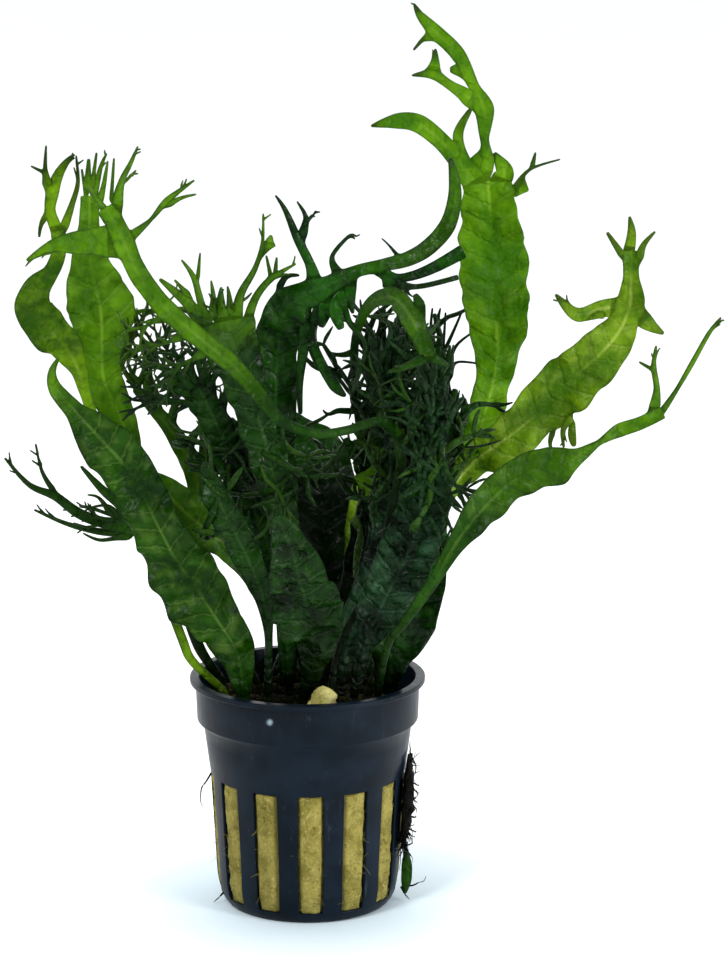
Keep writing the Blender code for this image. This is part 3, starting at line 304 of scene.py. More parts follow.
            (-25.2, 101, 11, 5.4), (-28, 107, 12, 4.8), (-31.4, 112.5, 12, 3.8), (-35, 117, 12, 3.2),
            (-39, 121.5, 12, 2)],
        lobes=[
            [(-30.5, 114, -4), (-30, 120, 1.6), (-32.5, 126, 1.2), (-31, 132.5, 0.5)],
            [(-36.5, 119.5, 4), (-36.8, 126, 1.4), (-34.8, 131, 1), (-37.6, 136, 0.5)],
            [(-31, 121, -1), (-28.4, 125, 1.6), (-25.5, 127.4, 0.5)],
            [(-39.2, 122, -2), (-42, 127, 1), (-41, 132, 0.5)]]),
    "frond_crested_centre": dict(
        rhizome="middle_back", foot=(-6, 5), fold=0.08, palette="dark",
        midrib=[(-6, 63, 7, 2), (-7, 76, 7, 3), (-10, 88, 6, 6), (-14, 98, 5, 8.5), (-18, 107, 4, 8.5),
            (-21.5, 115, 3, 7), (-24.4, 121.5, 2, 4)],
        crest=dict(heading=118, reach=8, spread=48)),
    "frond_back_light": dict(
        rhizome="back", foot=(8, 14), palette="yellow", deep=(70, 92),
        midrib=[(9, 66, 16, 2), (10.5, 76, 17, 4), (12, 88, 18, 7), (14, 98, 19, 8), (17.5, 106, 20, 7),
            (21, 112, 21, 4), (24, 117, 22, 2)]),
    "frond_back_centre": dict(
        rhizome="back", foot=(3, 14), palette="black", deep=(96, 112),
        midrib=[(3.4, 66, 18, 4), (5, 76, 21, 10), (4.4, 88, 25, 14.5), (4.4, 99, 29, 15),
            (2.4, 107, 33, 13), (-4, 113.4, 36, 7), (-9, 119, 38, 2)]),
    "frond_back_left": dict(
        rhizome="back", foot=(-8, 14), palette="dark",
        midrib=[(-4.5, 64, 20, 2), (-4, 78, 26, 6), (-6, 90, 33, 8), (-10, 100, 39, 7), (-14, 108, 44, 5),
            (-18, 114, 48, 3)]),
    "frond_back_right": dict(
        rhizome="back", foot=(13, 13), palette="dark",
        midrib=[(16, 64, 20, 2), (20, 76, 26, 6), (25, 88, 33, 8), (28.5, 99, 39, 7), (30.5, 108, 44, 5)],
        crest=dict(heading=84, reach=8, spread=36)),
    "frond_back_low": dict(
        rhizome="back", foot=(-2, 14), ruffle=0.09, palette="medium",
        midrib=[(-1, 63, 25, 2), (1, 72, 34, 6), (3, 81, 43, 9), (5, 88, 52, 8), (7, 93, 61, 5),
            (8, 96, 68, 1.6)]),
}
RHIZOMES = ("front", "middle_front", "middle_back", "back")

# Finer twigs that only the looks have, as lobes of the frond that carries them.
TWIGS = {
    "frond_tall": [
        [(35.6, 193.4, 0), (33.8, 193.8, 2.8), (32.2, 193.7, 1.4)],
        [(47, 165.6, 0), (48.8, 165.8, 3.8)],
        [(45, 169, 0), (44.9, 170.8, 4.6), (43.7, 172.9, 3), (42.3, 175.2, 0.8)],
        [(50.7, 172.2, 0), (51.6, 175.3, 0.4)]],
    "frond_right": [
        [(60.6, 114.6, 0), (60.6, 110.6, 2.2), (61.2, 107.8, 1.2)],
        [(65.6, 137.6, 0), (66.6, 138.4, 2.6), (68, 138.6, 1)]],
    "frond_top_left": [
        [(-49.4, 166, 0), (-48.9, 170, 1.5), (-48.7, 173.8, 0.7)],
        [(-48.4, 166.2, 0), (-47.6, 170.5, 1), (-46.9, 175.2, 0.5)],
        [(-47, 163.6, 0), (-45.6, 167, 1.3), (-44.9, 170.6, 0.9), (-44.4, 173.4, 0.4)]],
    "frond_low_left": [
        [(-41, 87.6, 0), (-44, 86.4, 1.2), (-48, 86, 0.9), (-51.6, 87.6, 0.4)],
        [(-43, 91, 0), (-45.4, 94, 0.9), (-49.6, 93.6, 0.6), (-52.6, 91.6, 0.4)],
        [(-45, 92, 0), (-47.8, 96, 0.8), (-50.4, 96.6, 0.4)]],
    "frond_hook": [
        [(-58.4, 160.6, 0), (-59.8, 158.6, 1), (-60.2, 156, 0.6)]],
    "frond_mid_left": [
        [(-19.2, 138, 0), (-19.4, 141, 2.2), (-19.2, 144.8, 0.5)],
        [(-23.6, 137.6, -2), (-26.6, 140.8, 2.6), (-29.6, 143.6, 2), (-33.2, 146.6, 0.7)],
        [(-27.6, 142, -1), (-28.2, 144.6, 1), (-29.8, 146.4, 0.5)],
        [(-9.7, 152.6, 0), (-8.4, 154.2, 1.8), (-6.8, 154.2, 0.5)],
        [(-9.2, 155, 0), (-7.8, 156.6, 0.5)],
        [(-9, 148, 0), (-9, 152, 0.5)],
        [(-6.8, 148.6, 0), (-6.6, 151.6, 0.5)],
        [(-17.6, 138, 0), (-17.4, 142.4, 1.2), (-17.8, 145, 0.4)]],
    "frond_arch": [
        [(20.4, 152.9, 0), (18.6, 154.4, 0.5), (17, 155.9, 0.35)],
        [(9, 145.6, 0), (10, 142, 2.4), (10.6, 138.6, 0.7)],
        [(4.6, 142.8, -2), (4.2, 139, 3.4), (3.3, 135.4, 1.4)],
        [(6.4, 143, -3), (6.6, 139, 3.4), (8, 135, 1.6)],
        [(0.8, 139, -2), (0.7, 134, 0.9), (0.9, 130, 0.8), (2.4, 126.4, 0.5)],
        [(-6.2, 144.4, 0), (-4.4, 147.2, 1.4), (-1.4, 147.4, 0.6)]],
    "frond_drooping": [
        [(24.2, 138, 0), (25.8, 140.6, 3), (24.6, 143.2, 1)]],
    "frond_crested_middle": [
        [(15, 98.6, -16, 0.8), (16.4, 101.6, 5), (18.8, 105.4, 6), (20.8, 109, 3.4), (22, 112, 0.6)],
        [(12, 91, -12, 0.5), (12.3, 88, 1.4), (11.8, 84, 2), (11.2, 80, 1.4), (10.9, 77, 0.4)],
        [(12.6, 106, -2), (10.2, 107.4, 3), (8.8, 110, 1.2)],
        [(13, 117.4, -6), (10.4, 116.2, 1.7), (7, 116.3, 1.4), (4.9, 115.3, 1), (3.7, 116.5, 0.4)],
        [(13, 119, -4), (10.8, 121, 1.2), (8, 124.6, 0.9), (5, 126.6, 0.4)],
        [(12.8, 115.6, -3), (11, 118.2, 1.6), (10.6, 121.4, 0.8)]],
    "frond_crested_back": [
        [(31, 126.4, 0), (34, 131.2, 0.8), (37.8, 134.4, 0.5)],
        [(31.8, 124.4, 0), (34, 127.4, 0.7), (39, 127.2, 0.5)],
        [(30.4, 127, 0), (31.2, 133, 0.8), (31.6, 139, 0.5)],
        [(29.4, 127, 0), (28.4, 134, 0.9), (28.6, 140, 0.5)],
        [(29.8, 127, -3), (33.4, 134.6, 0.8), (35.4, 139.4, 0.5)]],
}

# Bushes of twigs: where each starts (x, z), its heading in degrees, first length, width and levels.
SPRAYS = {
    "frond_crested_centre": [
        (-14.4, 101, 158, 7, 1.5, 3), (-17, 105, 150, 8, 1.5, 3), (-19.6, 109.4, 155, 8, 1.4, 3),
        (-21.6, 113, 140, 7, 1.4, 3), (-23, 117, 165, 8, 1.4, 3), (-24.6, 120.6, 135, 7, 1.3, 3),
        (-22, 121.6, 100, 6, 1.2, 3), (-19.4, 118, 70, 5, 1.2, 2), (-16, 110, 60, 5, 1.4, 2)],
    "frond_crested_left": [
        (-23, 99, 70, 6, 1.5, 2), (-25.4, 105, 50, 6, 1.3, 3), (-28.6, 109.6, 75, 7, 1.3, 3),
        (-32, 114.6, 60, 6, 1.2, 3), (-34, 117.4, 95, 7, 1.2, 3), (-38, 122, 75, 7, 1.1, 3),
        (-38.4, 121.6, 110, 6, 1.1, 3), (-37, 120, 40, 5, 1, 2), (-26, 103, 200, 4, 1.2, 1)],
    "frond_top_left": [
        (-39.8, 134, 50, 5, 1, 3), (-39.4, 139, 10, 5, 0.9, 3), (-40, 129.6, 20, 5, 1, 3),
        (-39.6, 142, 330, 4, 0.9, 2)],
    "frond_ribbon": [
        (-29, 133, 200, 5, 0.9, 3), (-33, 138, 215, 4.4, 0.9, 3), (-24, 129, 205, 5, 0.9, 3),
        (-36, 142, 225, 4, 0.8, 2)],
    "frond_low_left": [
        (-44, 90.4, 168, 4, 0.9, 2), (-47, 90, 200, 4, 0.8, 1), (-50.4, 91.2, 150, 3.6, 0.8, 1)],
    "frond_mid_left": [
        (-22.6, 136.6, 150, 4, 1, 1), (-20.4, 137, 100, 4, 0.9, 1), (-17.6, 137.4, 60, 4.4, 0.9, 1)],
    "frond_arch": [
        (20, 146.4, 320, 3.6, 0.8, 1), (9.4, 143, 300, 5, 1, 2)],
}

# Tufts of small leaves over a crested blade: how many, and the heights between which they start.
TUFTS = {
    "frond_crested_right": (62, 92, 123),
    "frond_crested_middle": (46, 92, 126),
    "frond_front_right": (36, 94, 116),
    "frond_right_dark": (28, 92, 116),
    "frond_crested_back": (30, 100, 126),
    "frond_crested_centre": (24, 84, 112),
    "frond_mid_left": (10, 92, 116),
    "frond_left_dark": (8, 84, 102),
}

# Where the background or a bare blade shows between the twigs: least x, greatest x, least z, greatest z.
GAPS = (
    (-0.5, 9.6, 112.5, 120.5), (0.6, 7.5, 119, 125.5), (5, 10.4, 129.9, 134.5), (-36.5, -28.5, 99.5, 107.5),
    (-39.5, -33, 108.5, 114), (-29, -25.2, 110.5, 117.5), (26, 34.8, 140, 145), (33.2, 38.6, 121.5, 126.8),
    (31.6, 36.4, 134.4, 137), (34.6, 38.4, 128.6, 132.6), (-24.4, -10, 61, 84), (-46, -38, 146, 152),
    (-39, -36.4, 140.5, 146), (36, 60, 120, 140), (-28, -24.6, 140, 144.6), (10.5, 17.2, 144, 147.4),
    (-60, -43, 112, 142),
)


def linear(code):
    """A colour written as six hexadecimal digits, as linear red, green, blue and full alpha."""
    parts = [int(code[index:index + 2], 16) / 255 for index in (0, 2, 4)]
    return (*[part / 12.92 if part <= 0.04045 else ((part + 0.055) / 1.055) ** 2.4 for part in parts], 1.0)


class Finish:
    """A material whose nodes are added one by one."""

    def __init__(self, name):
        self.material = bpy.data.materials.new(name)
        self.material.use_nodes = True
        self.tree = self.material.node_tree
        self.surface = self.tree.nodes["Principled BSDF"]
        self.output = self.tree.nodes["Material Output"]
        self.place = self.add("TexCoord").outputs["Object"]

    def add(self, kind, inputs=None, **settings):
        """A new node with these settings. An input is a value or another node's output."""
        made = self.tree.nodes.new("ShaderNode" + kind)
        for setting, value in settings.items():
            setattr(made, setting, value)
        self.feed(made, inputs or {})
        return made

    def feed(self, node, inputs):
        """Set or link a node's inputs."""
        for socket, value in inputs.items():
            if isinstance(value, bpy.types.NodeSocket):
                self.tree.links.new(value, node.inputs[socket])
            else:
                node.inputs[socket].default_value = value

    def attribute(self, name):
        """A mark that the points of the leaf carry."""
        return self.add("Attribute", attribute_name=name).outputs["Fac"]

    def math(self, operation, first, second=0.0):
        """The result of this operation on two values."""
        return self.add("Math", {0: first, 1: second}, operation=operation).outputs[0]

    def times(self, first, second):
        return self.math("MULTIPLY", first, second)

    def plus(self, first, second):
        return self.math("ADD", first, second)

    def between(self, value, low, high, start=0.0, end=1.0):
        """From start to end as the value goes from low to high, with a smooth turn at both."""
        node = self.add("MapRange", {"Value": value, "From Min": low, "From Max": high, "To Min": start,
                                     "To Max": end}, interpolation_type="SMOOTHSTEP")
        return node.outputs["Result"]

    def mix(self, factor, first, second):
        """The first colour at factor 0, the second at 1."""
        return self.add("Mix", {0: factor, 6: first, 7: second}, data_type="RGBA").outputs[2]

    def noise(self, size, detail=3.0, roughness=0.55, distortion=0.0, place=None):
        """Noise whose features are about this many millimetres wide."""
        inputs = {"Vector": place or self.place, "Scale": 1 / (size * MM), "Detail": detail,
                  "Roughness": roughness, "Distortion": distortion}
        return self.add("TexNoise", inputs).outputs["Fac"]

    def bump(self, height, depth):
        """Relief this many millimetres deep."""
        normal = self.add("Bump", {"Height": height, "Distance": depth * MM}).outputs["Normal"]
        self.feed(self.surface, {"Normal": normal})
        return normal

    def shine(self, colour, roughness, specular):
        """The colour and gloss of the surface, as a finished material."""
        self.feed(self.surface, {"Base Color": colour, "Roughness": roughness,
                                 "Specular IOR Level": specular})
        return self.material


FRESH_BLADE = "5e900c"
FRESH_SHADE = "386404"
DEEP_SHADE = "030d02"
LEAF_COLOURS = {
    "bright": dict(blade="629405", shade="3a6e01", vein="9cc040", edge="1d4403", twig="28400a", light=0.42,
                   gloss=0.38, bumps=0.5, sheen=0.1),
    "patched": dict(blade="729e0a", shade="2c5402", vein="92b040", edge="103402", twig="24380a", light=0.4,
                    gloss=0.38, bumps=0.5, sheen=0.08),
    "yellow": dict(blade="729612", shade="3c6804", vein="c0d068", edge="2a4a04", twig="37500c", light=0.42,
                   gloss=0.38, bumps=0.5, sheen=0.12),
    "medium": dict(blade="234e03", shade="082a00", vein="84ac4a", edge="041802", twig="1a3606", light=0.35,
                   gloss=0.34, bumps=0.4, sheen=0.06, midrib=0.25),
    "olive": dict(blade="3e6e0c", shade="123a02", vein="87a040", edge="0c2003", twig="26400a", light=0.4,
                  gloss=0.38, bumps=0.25, sheen=0.06, midrib=0.3),
    # The dark and black greens are the fronds' own deep green, darkened further as painted shade for the
    # crowded middle of the plant
    "dark": dict(blade="113505", shade="001000", vein="527c3c", edge="010c01", twig="0f2a07", light=0.22,
                 gloss=0.27, bumps=0.45, sheen=0.12, midrib=0.12),
    "black": dict(blade="1a4c06", shade="011500", vein="4c7a34", edge="010a01", twig="0e2406", light=0.2,
                  gloss=0.27, bumps=0.4, sheen=0.1, midrib=0.12),
    "blue": dict(blade="143517", shade="000c01", vein="55805f", edge="010a01", twig="0e260c", light=0.12,
                 gloss=0.38, bumps=0.9, sheen=0.12, midrib=0.16),
}


LEAF_SLOTS = {
    "bright": "frond_bright",
    "patched": "frond_bright",
    "yellow": "frond_bright",
    "medium": "frond_bright",
    "olive": "frond_olive",
    "dark": "frond_dark",
    "black": "frond_dark",
    "blue": "frond_dark",
}


def leaf_finish(name, blade, shade, vein, edge, twig, light, gloss, bumps, sheen, midrib=0.45):
    """Leaf tissue: mottled, veined, darker at the margin and on thin twigs, with painted shade beside the
    sunken veins, in the creases and low down, painted highlights on the ridges and painted glints, and lit
    through.
    """
    made = Finish("leaf_" + name)
    run, rib, rim, half, fresh, deep, relief = [made.attribute(mark) for mark in LEAF_MARKS]
    broad = made.noise(12, 2.5)
    fine = made.noise(1.8, 4.0, 0.6)
    dark = made.between(made.plus(made.times(broad, 0.7), made.times(fine, 0.3)), 0.36, 0.62)
    patchy = made.between(broad, 0.35, 0.6)
    way = made.math("SUBTRACT", run, made.times(rib, VEIN_LEAN))
    bent = made.plus(made.math("DIVIDE", way, VEIN_GAP), made.times(fine, 0.5))
    away = made.math("PINGPONG", bent, 0.5)
    veined = made.between(half, 2.2, 5.0, 0.12, 1.0)
    wide = made.between(half, 1.2, 2.4)
    # Painted glints: small pale specks that stand in for wet highlights, as strong as the palette's sheen
    painted_glints = made.between(made.noise(0.8, 3.0, 0.65), 0.54, 0.68, 0.0, sheen)
    margin = made.plus(rim, made.times(fine, 0.6))
    thin = made.between(half, 0.4, 1.3, 0.85, 0.0)
    colour = made.mix(dark, linear(shade), linear(blade))
    colour = made.mix(fresh, colour, made.mix(dark, linear(FRESH_SHADE), linear(FRESH_BLADE)))
    layers = (
        (made.times(made.times(made.between(away, 0.02, 0.09, 0.22, 0.0), patchy), veined), vein),
        # Painted shade beside the sunken veins
        (made.times(made.between(away, 0.05, 0.3, 0.26, 0.0), veined), shade),
        (made.times(made.times(made.between(rib, 0.1, 0.6, midrib, 0.0), patchy), wide), vein),
        # Painted shade in the creases of the relief, and a painted highlight on its ridges
        (made.between(relief, 0.1, 0.5, 0.5, 0.0), shade),
        (made.between(relief, 0.5, 0.95, 0.0, 0.16), vein),
        # Painted glints, in the pale vein green
        (made.times(painted_glints, wide), vein),
        (made.between(margin, 0.3, 0.85, 0.45, 0.0), edge),
        (made.times(thin, made.between(fresh, 0.0, 1.0, 1.0, 0.35)), twig),
        (made.times(deep, 0.9), DEEP_SHADE))
    for share, tone in layers:
        colour = made.mix(share, colour, linear(tone))
    pucker = made.noise(2.6, 1.5, 0.5, 0.6)
    height = made.plus(made.times(pucker, 1.6), made.times(fine, 0.35))
    normal = made.bump(made.plus(height, made.between(away, 0.0, 0.2, 0.0, 0.5)), bumps)
    made.shine(colour, gloss, 0.1)
    glow = made.add("BsdfTranslucent", {"Color": made.mix(0.15, colour, linear(blade)), "Normal": normal})
    both = made.add("MixShader", {0: light, 1: made.surface.outputs[0], 2: glow.outputs[0]})
    made.feed(made.output, {"Surface": both.outputs[0]})
    return made.material


def pot_finish():
    """Moulded slate-blue plastic: semi-gloss, with faint scuffs, a fine grain and one small pale painted
    glint.
    """
    made = Finish("pot_plastic")
    upright = made.add("Mapping", {"Vector": made.place, "Scale": (1, 1, 0.25)}).outputs[0]
    scuffs = made.noise(1.4, 4.0, 0.65, place=upright)
    colour = made.mix(made.between(made.noise(9), 0.35, 0.7), linear("040e17"), linear("0c1823"))
    colour = made.mix(made.between(scuffs, 0.60, 0.78, 0.0, 0.25), colour, linear("4a565e"))
    # A painted glint: a small pale spot, broken up by the scuffs' noise
    away = made.add("VectorMath", {0: made.place, 1: POT_GLINT * MM}, operation="DISTANCE").outputs["Value"]
    mark = made.between(away, POT_GLINT_CORE * MM, POT_GLINT_EDGE * MM, 0.8, 0.0)
    colour = made.mix(made.times(mark, made.between(scuffs, 0.4, 0.6)), colour, linear("8fa0aa"))
    made.bump(made.noise(0.5, 2.0), 0.02)
    return made.shine(colour, made.between(scuffs, 0.3, 0.7, 0.30, 0.40), 0.08)


def wool_finish(name, dark, pale):
    """Rockwool: ochre and olive fibres, mottled, matt."""
    made = Finish(name)
    clouds = made.noise(4.5, 4.0, 0.6)
    grain = made.noise(0.7, 4.0, 0.7)
    colour = made.mix(made.between(clouds, 0.36, 0.62), linear(dark), linear(pale))
    colour = made.mix(made.between(grain, 0.55, 0.75, 0.0, 0.6), colour, linear("c4bd80"))
    colour = made.mix(made.between(grain, 0.28, 0.46, 0.7, 0.0), colour, linear("3c360f"))
    made.bump(grain, 0.25)
    return made.shine(colour, 0.95, 0.2)


def root_finish(name, dark, pale):
    """Roots and rhizomes: matt brown-black bark with paler scuffs."""
    made = Finish(name)
    grain = made.noise(1.0, 4.0, 0.65)
    colour = made.mix(made.between(grain, 0.45, 0.72), linear(dark), linear(pale))
    made.bump(grain, 0.12)
    return made.shine(colour, 0.85, 0.06)


def floor_finish():
    """The plain pale floor, with a painted bluish shadow that darkens it around the pot."""
    made = Finish("floor_paper")
    away = made.add("VectorMath", {0: made.place}, operation="LENGTH").outputs["Value"]
    # Painted shadow: bluish and darker near the pot's axis, fading out between 22 mm and 70 mm from it
    colour = made.mix(made.between(away, 0.022, 0.07), linear("d2e1ea"), linear("fbfcfd"))
    made.feed(made.surface, {"Base Color": colour, "Roughness": 0.9})
    return made.material


def piece_of(name, mesh, finish, slot, *nodes):
    """A piece of the object that rides on its one body and stands for these CAD nodes."""
    made = bpy.data.objects.new(name, mesh)
    mesh.materials.append(finish)
    bpy.context.scene.collection.objects.link(made)
    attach(made, "root")
    if nodes:
        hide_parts(*nodes)
    return made


def mesh_piece(name, points, faces, finish, slot, *nodes):
    """A smooth piece made of these points, in millimetres, with its faces turned outwards."""
    built = bmesh.new()
    corners = [built.verts.new(Vector(point) * MM) for point in points]
    for face in faces:
        built.faces.new([corners[index] for index in face])
    bmesh.ops.recalc_face_normals(built, faces=built.faces)
    mesh = bpy.data.meshes.new(name)
    built.to_mesh(mesh)
    built.free()
    mesh.shade_smooth()
    return piece_of(name, mesh, finish, slot, *nodes)


def placed(x, z, depth):
    """The point this deep on the line of sight through (x, 0, z)."""
    return VIEWPOINT + (Vector((x, 0, z)) - VIEWPOINT) * (1 - depth / VIEWPOINT.y)


def seen_from_front(point):
    """Where the line of sight through this point meets the plane y = 0, as (x, z)."""
    on_plane = VIEWPOINT + (point - VIEWPOINT) * (VIEWPOINT.y / (VIEWPOINT.y - point.y))
    return Vector((on_plane.x, on_plane.z))


def polar(radius, angle, z):
    """The point this far from the pot's axis, at this angle and height."""
    return Vector((radius * math.cos(angle), radius * math.sin(angle), z))


def around(sides):
    """Angles evenly round a circle."""
    return [2 * math.pi * side / sides for side in range(sides)]


def drawn(draws, *ranges):
    """A vector with each part drawn from its own range."""
    return Vector([draws.uniform(low, high) for low, high in ranges])


def smooth_path(stops, step):
    """Stations (place, width) along a smooth curve through the stops, about a step apart."""
    stations = [stops[0]]
    for index in range(len(stops) - 1):
        before = stops[max(index - 1, 0)][0]
        start, start_width = stops[index]
        end, end_width = stops[index + 1]
        after = stops[min(index + 2, len(stops) - 1)][0]
        parts = max(1, round((end - start).length / step))
        for part in range(1, parts + 1):
            t = part / parts
            place = (start * (2 - 5 * t * t + 3 * t ** 3) + before * (2 * t * t - t - t ** 3)
                     + end * (t + 4 * t * t - 3 * t ** 3) + after * (t ** 3 - t * t)) / 2
            stations.append((place, start_width + (end_width - start_width) * t))
    return stations


def rise_between(value, low, high):
    """How far a value has come from low to high, from 0 to 1."""
    return min(1, max(0, (value - low) / (high - low)))


def fanned(count, crowd):
    """Places across a strip from -1 to 1, crowded towards the midrib."""
    spread = [2 * index / count - 1 for index in range(count + 1)]
    return [math.copysign(abs(place) ** crowd, place) for place in spread]


LEAF_MARKS = ("run", "rib", "rim", "half", "fresh", "deep", "relief")
TOWARDS_VIEWER = Vector((0, -1, 0))


class Leaf:
    """A leaf surface that grows in strips, each from free edges of what is there already."""

    def __init__(self, name, frond):
        self.mesh = bmesh.new()
        layers = self.mesh.verts.layers
        self.group = layers.deform.verify()
        self.marks = [layers.float.new(mark) for mark in LEAF_MARKS]
        self.ruffle = 1.5 * frond.get("ruffle", 0.08)
        self.fold = frond.get("fold", 0.1)
        self.quilt = frond.get("quilt", 0.55)
        self.twist = frond.get("twist", 0.16)
        self.fresh = frond.get("fresh")
        self.young = frond.get("young")
        self.deep = frond.get("deep", (52, 68))
        self.fullness = 0.0
        self.tint = 0.0
        draws = random.Random(name)
        self.phase = draws.uniform(0, 2 * math.pi)
        self.second_phase = draws.uniform(0, 2 * math.pi)

    def row(self, place, width, tangent, run, sides, rib, blade=True):
        """New points across the leaf at a station, on these sides from -1 to 1."""
        across = tangent.cross(TOWARDS_VIEWER)
        if across.length < 0.05:
            across = Vector((1, 0, 0))
        across.normalize()
        facing = across.cross(tangent).normalized()
        open_width = min(1, max(0, width - STALK_WIDTH) / 4) if blade else 0
        turn = self.twist * open_width * math.sin(run / TWIST_PACE + self.second_phase)
        twist = Matrix.Rotation(turn, 3, tangent)
        across, facing = twist @ across, twist @ facing
        height = seen_from_front(place).y
        freshness = rise_between(height, *self.fresh) if self.fresh else 0
        if self.young:
            freshness = rise_between(run, *self.young)
        freshness = max(freshness, self.tint)
        # How much painted shade darkens the leaf low down, less where its green is fresh
        depth = (1 - rise_between(height, *self.deep)) * (1 - freshness)
        half = width / 2 + self.fullness
        hump = max(rib, min(width / 2, 1.0)) if width < STALK_WIDTH else rib
        points = []
        for side in sides:
            hand = MARGIN_LAG * (side > 0)
            wave = math.sin(2 * math.pi * run / WAVE_LENGTH + self.phase + hand) if blade else 0
            lift = width * abs(side) * (self.fold + self.ruffle * wave)
            ripple = math.sin(2 * math.pi * run / RIPPLE_LENGTH + self.second_phase + 1.7 * hand)
            lift += RIPPLE_LIFT * min(width, 9) * open_width * side * side * ripple
            notch = noise.noise(Vector((run / NOTCH_LENGTH, hand * 3, self.phase * 10)))
            nick = noise.noise(Vector((run / NICK_LENGTH, hand * 5, self.phase * 7)))
            edge = RIPPLE_REACH * ripple + NOTCH_REACH * notch + NICK_REACH * nick
            reach = width / 2 * side * (1 + open_width * abs(side) * edge)
            from_rib = abs(reach)
            way = (run - VEIN_LEAN * from_rib) / VEIN_GAP
            swell = abs(math.sin(math.pi * way)) ** 0.7 - 0.6
            spot = place + across * reach
            crease = sum(share * noise.noise(spot / size) for share, size in CREASES)
            relief = min(1, 3 * abs(side)) * (1 - 0.7 * side ** 4) * (swell + 1.4 * crease)
            relief *= open_width * min(1, width / 10)
            point = self.mesh.verts.new(spot + facing * (lift + self.quilt * relief))
            round_off = math.sqrt(max(0, 1 - (from_rib / hump) ** 2))
            thick = BLADE_THICKNESS + (STALK_THICKNESS - BLADE_THICKNESS) * hump * round_off
            point[self.group][0] = min(1, thick / STALK_THICKNESS)
            # The relief mark sets the painted shade in the creases and the painted highlight on the ridges
            marks = (run, from_rib, max(0, half - from_rib), half, freshness, depth, 0.5 + 0.35 * relief)
            for mark, value in zip(self.marks, marks):
                point[mark] = value
            points.append(point)
        return points

    def join(self, first, second):
        """Faces between two rows of as many points."""
        for index in range(len(first) - 1):
            self.mesh.faces.new((first[index], first[index + 1], second[index + 1], second[index]))

    def strip(self, before, stations, sides, run, ribs, blade):
        """Rows from the second station on, joined to the row before."""
        last = len(stations) - 1
        for index in range(0 if before is None else 1, last + 1):
            place, width = stations[index]
            ahead = stations[min(index + 1, last)][0]
            behind = stations[max(index - 1, 0)][0]
            if index:
                run += (place - behind).length
            rib = ribs[0] + (ribs[1] - ribs[0]) * index / last
            row = self.row(place, width, (ahead - behind).normalized(), run, sides, rib, blade)
            if before:
                if (row[-1].co - row[0].co).dot(before[-1].co - before[0].co) < 0:
                    row.reverse()
                self.join(before, row)
            before = row

    def blade(self, stops):
        """The stalk and blade along the midrib."""
        widest = max(width for _, width in stops)
        columns = 2 * max(3, min(7, round(widest / 2.2)))
        self.strip(None, smooth_path(stops, GRAIN), fanned(columns, 1.25), 0, (RIB_HALF_WIDTH, 0.3), True)

    def free_edges(self, x, z, length):
        """Points along free edges in a row, about this long in all, seen nearest to (x, z)."""
        wanted = Vector((x, z))

        def away(edge):
            return (seen_from_front((edge.verts[0].co + edge.verts[1].co) / 2) - wanted).length

        first = min((edge for edge in self.mesh.edges if edge.is_boundary), key=away)
        points, used = list(first.verts), {first}
        total = first.calc_length()
        while total < length:
            choices = []
            for end, inner in ((0, 1), (-1, -2)):
                along = (points[end].co - points[inner].co).normalized()
                for edge in points[end].link_edges:
                    if edge.is_boundary and edge not in used:
                        far = edge.other_vert(points[end])
                        if far not in points and (far.co - points[end].co).normalized().dot(along) > 0.6:
                            choices.append((away(edge), end, edge.index, edge, far))
            if not choices:
                break
            _, end, _, edge, far = min(choices, key=lambda choice: choice[:2])
            used.add(edge)
            total += edge.calc_length()
            points.insert(0, far) if end == 0 else points.append(far)
        return points

    def lobe(self, root, gain, stops):
        """A flat twig or finger that grows from the free edges nearest to its root."""
        first_width = stops[0][2]
        before = self.free_edges(*root, 1.25 * first_width + 0.3)
        origin = sum((point.co for point in before), Vector()) / len(before)
        path = [(origin, (before[-1].co - before[0].co).length)]
        for index, (x, z, width) in enumerate(stops):
            path.append((placed(x, z, origin.y + gain * (index + 1) / len(stops)), width))
        sides = fanned(len(before) - 1, 1.0)
        step = min(TWIG_STEP, max(0.7, 0.45 * first_width + 0.35))
        self.strip(before, smooth_path(path, step), sides, 0, (0.4, 0.2), False)

    def sprig(self, draws, place, angle, lift, length, width, level):
        """A small curled leaf that leaves this place, and the smaller ones that fork from its end."""
        stops = [(place, 0.6 * width)]
        for swell in (1.0, 0.95, 0.7 if level else 0.25):
            angle += draws.uniform(-30, 30)
            lift += draws.uniform(-0.6, 0.3)
            heading = Vector((math.cos(math.radians(angle)), -lift, math.sin(math.radians(angle))))
            place = place + heading.normalized() * (length / 3)
            stops.append((place, swell * width))
        if open_at(*seen_from_front(place)):
            return
        self.strip(None, smooth_path(stops, TWIG_STEP), fanned(4, 1.0), 0, (0.3, 0.2), False)
        if level:
            for side in (-1, 0, 1):
                turn = 32 * side + draws.uniform(-12, 12)
                shorter = length * draws.uniform(0.4, 0.8)
                self.sprig(draws, place, angle + turn, lift, shorter, 0.72 * width, level - 1)

    def tufts(self, draws, count, low, high):
        """Small curled leaves that stand on the blade where it is seen between these heights."""
        seats = [face.calc_center_median() for face in self.mesh.faces]
        seats = [seat for seat in seats if low < seen_from_front(seat).y < high]
        self.fullness = 0.3
        for _ in range(count):
            self.tint = 0.4 * draws.random() ** 3
            heading = draws.gauss(draws.choice((92, 92, 266)), 32)
            self.sprig(draws, draws.choice(seats), heading, draws.uniform(0.1, 0.8), draws.uniform(6, 13),
                       draws.uniform(0.8, 1.7), draws.randint(0, 1))

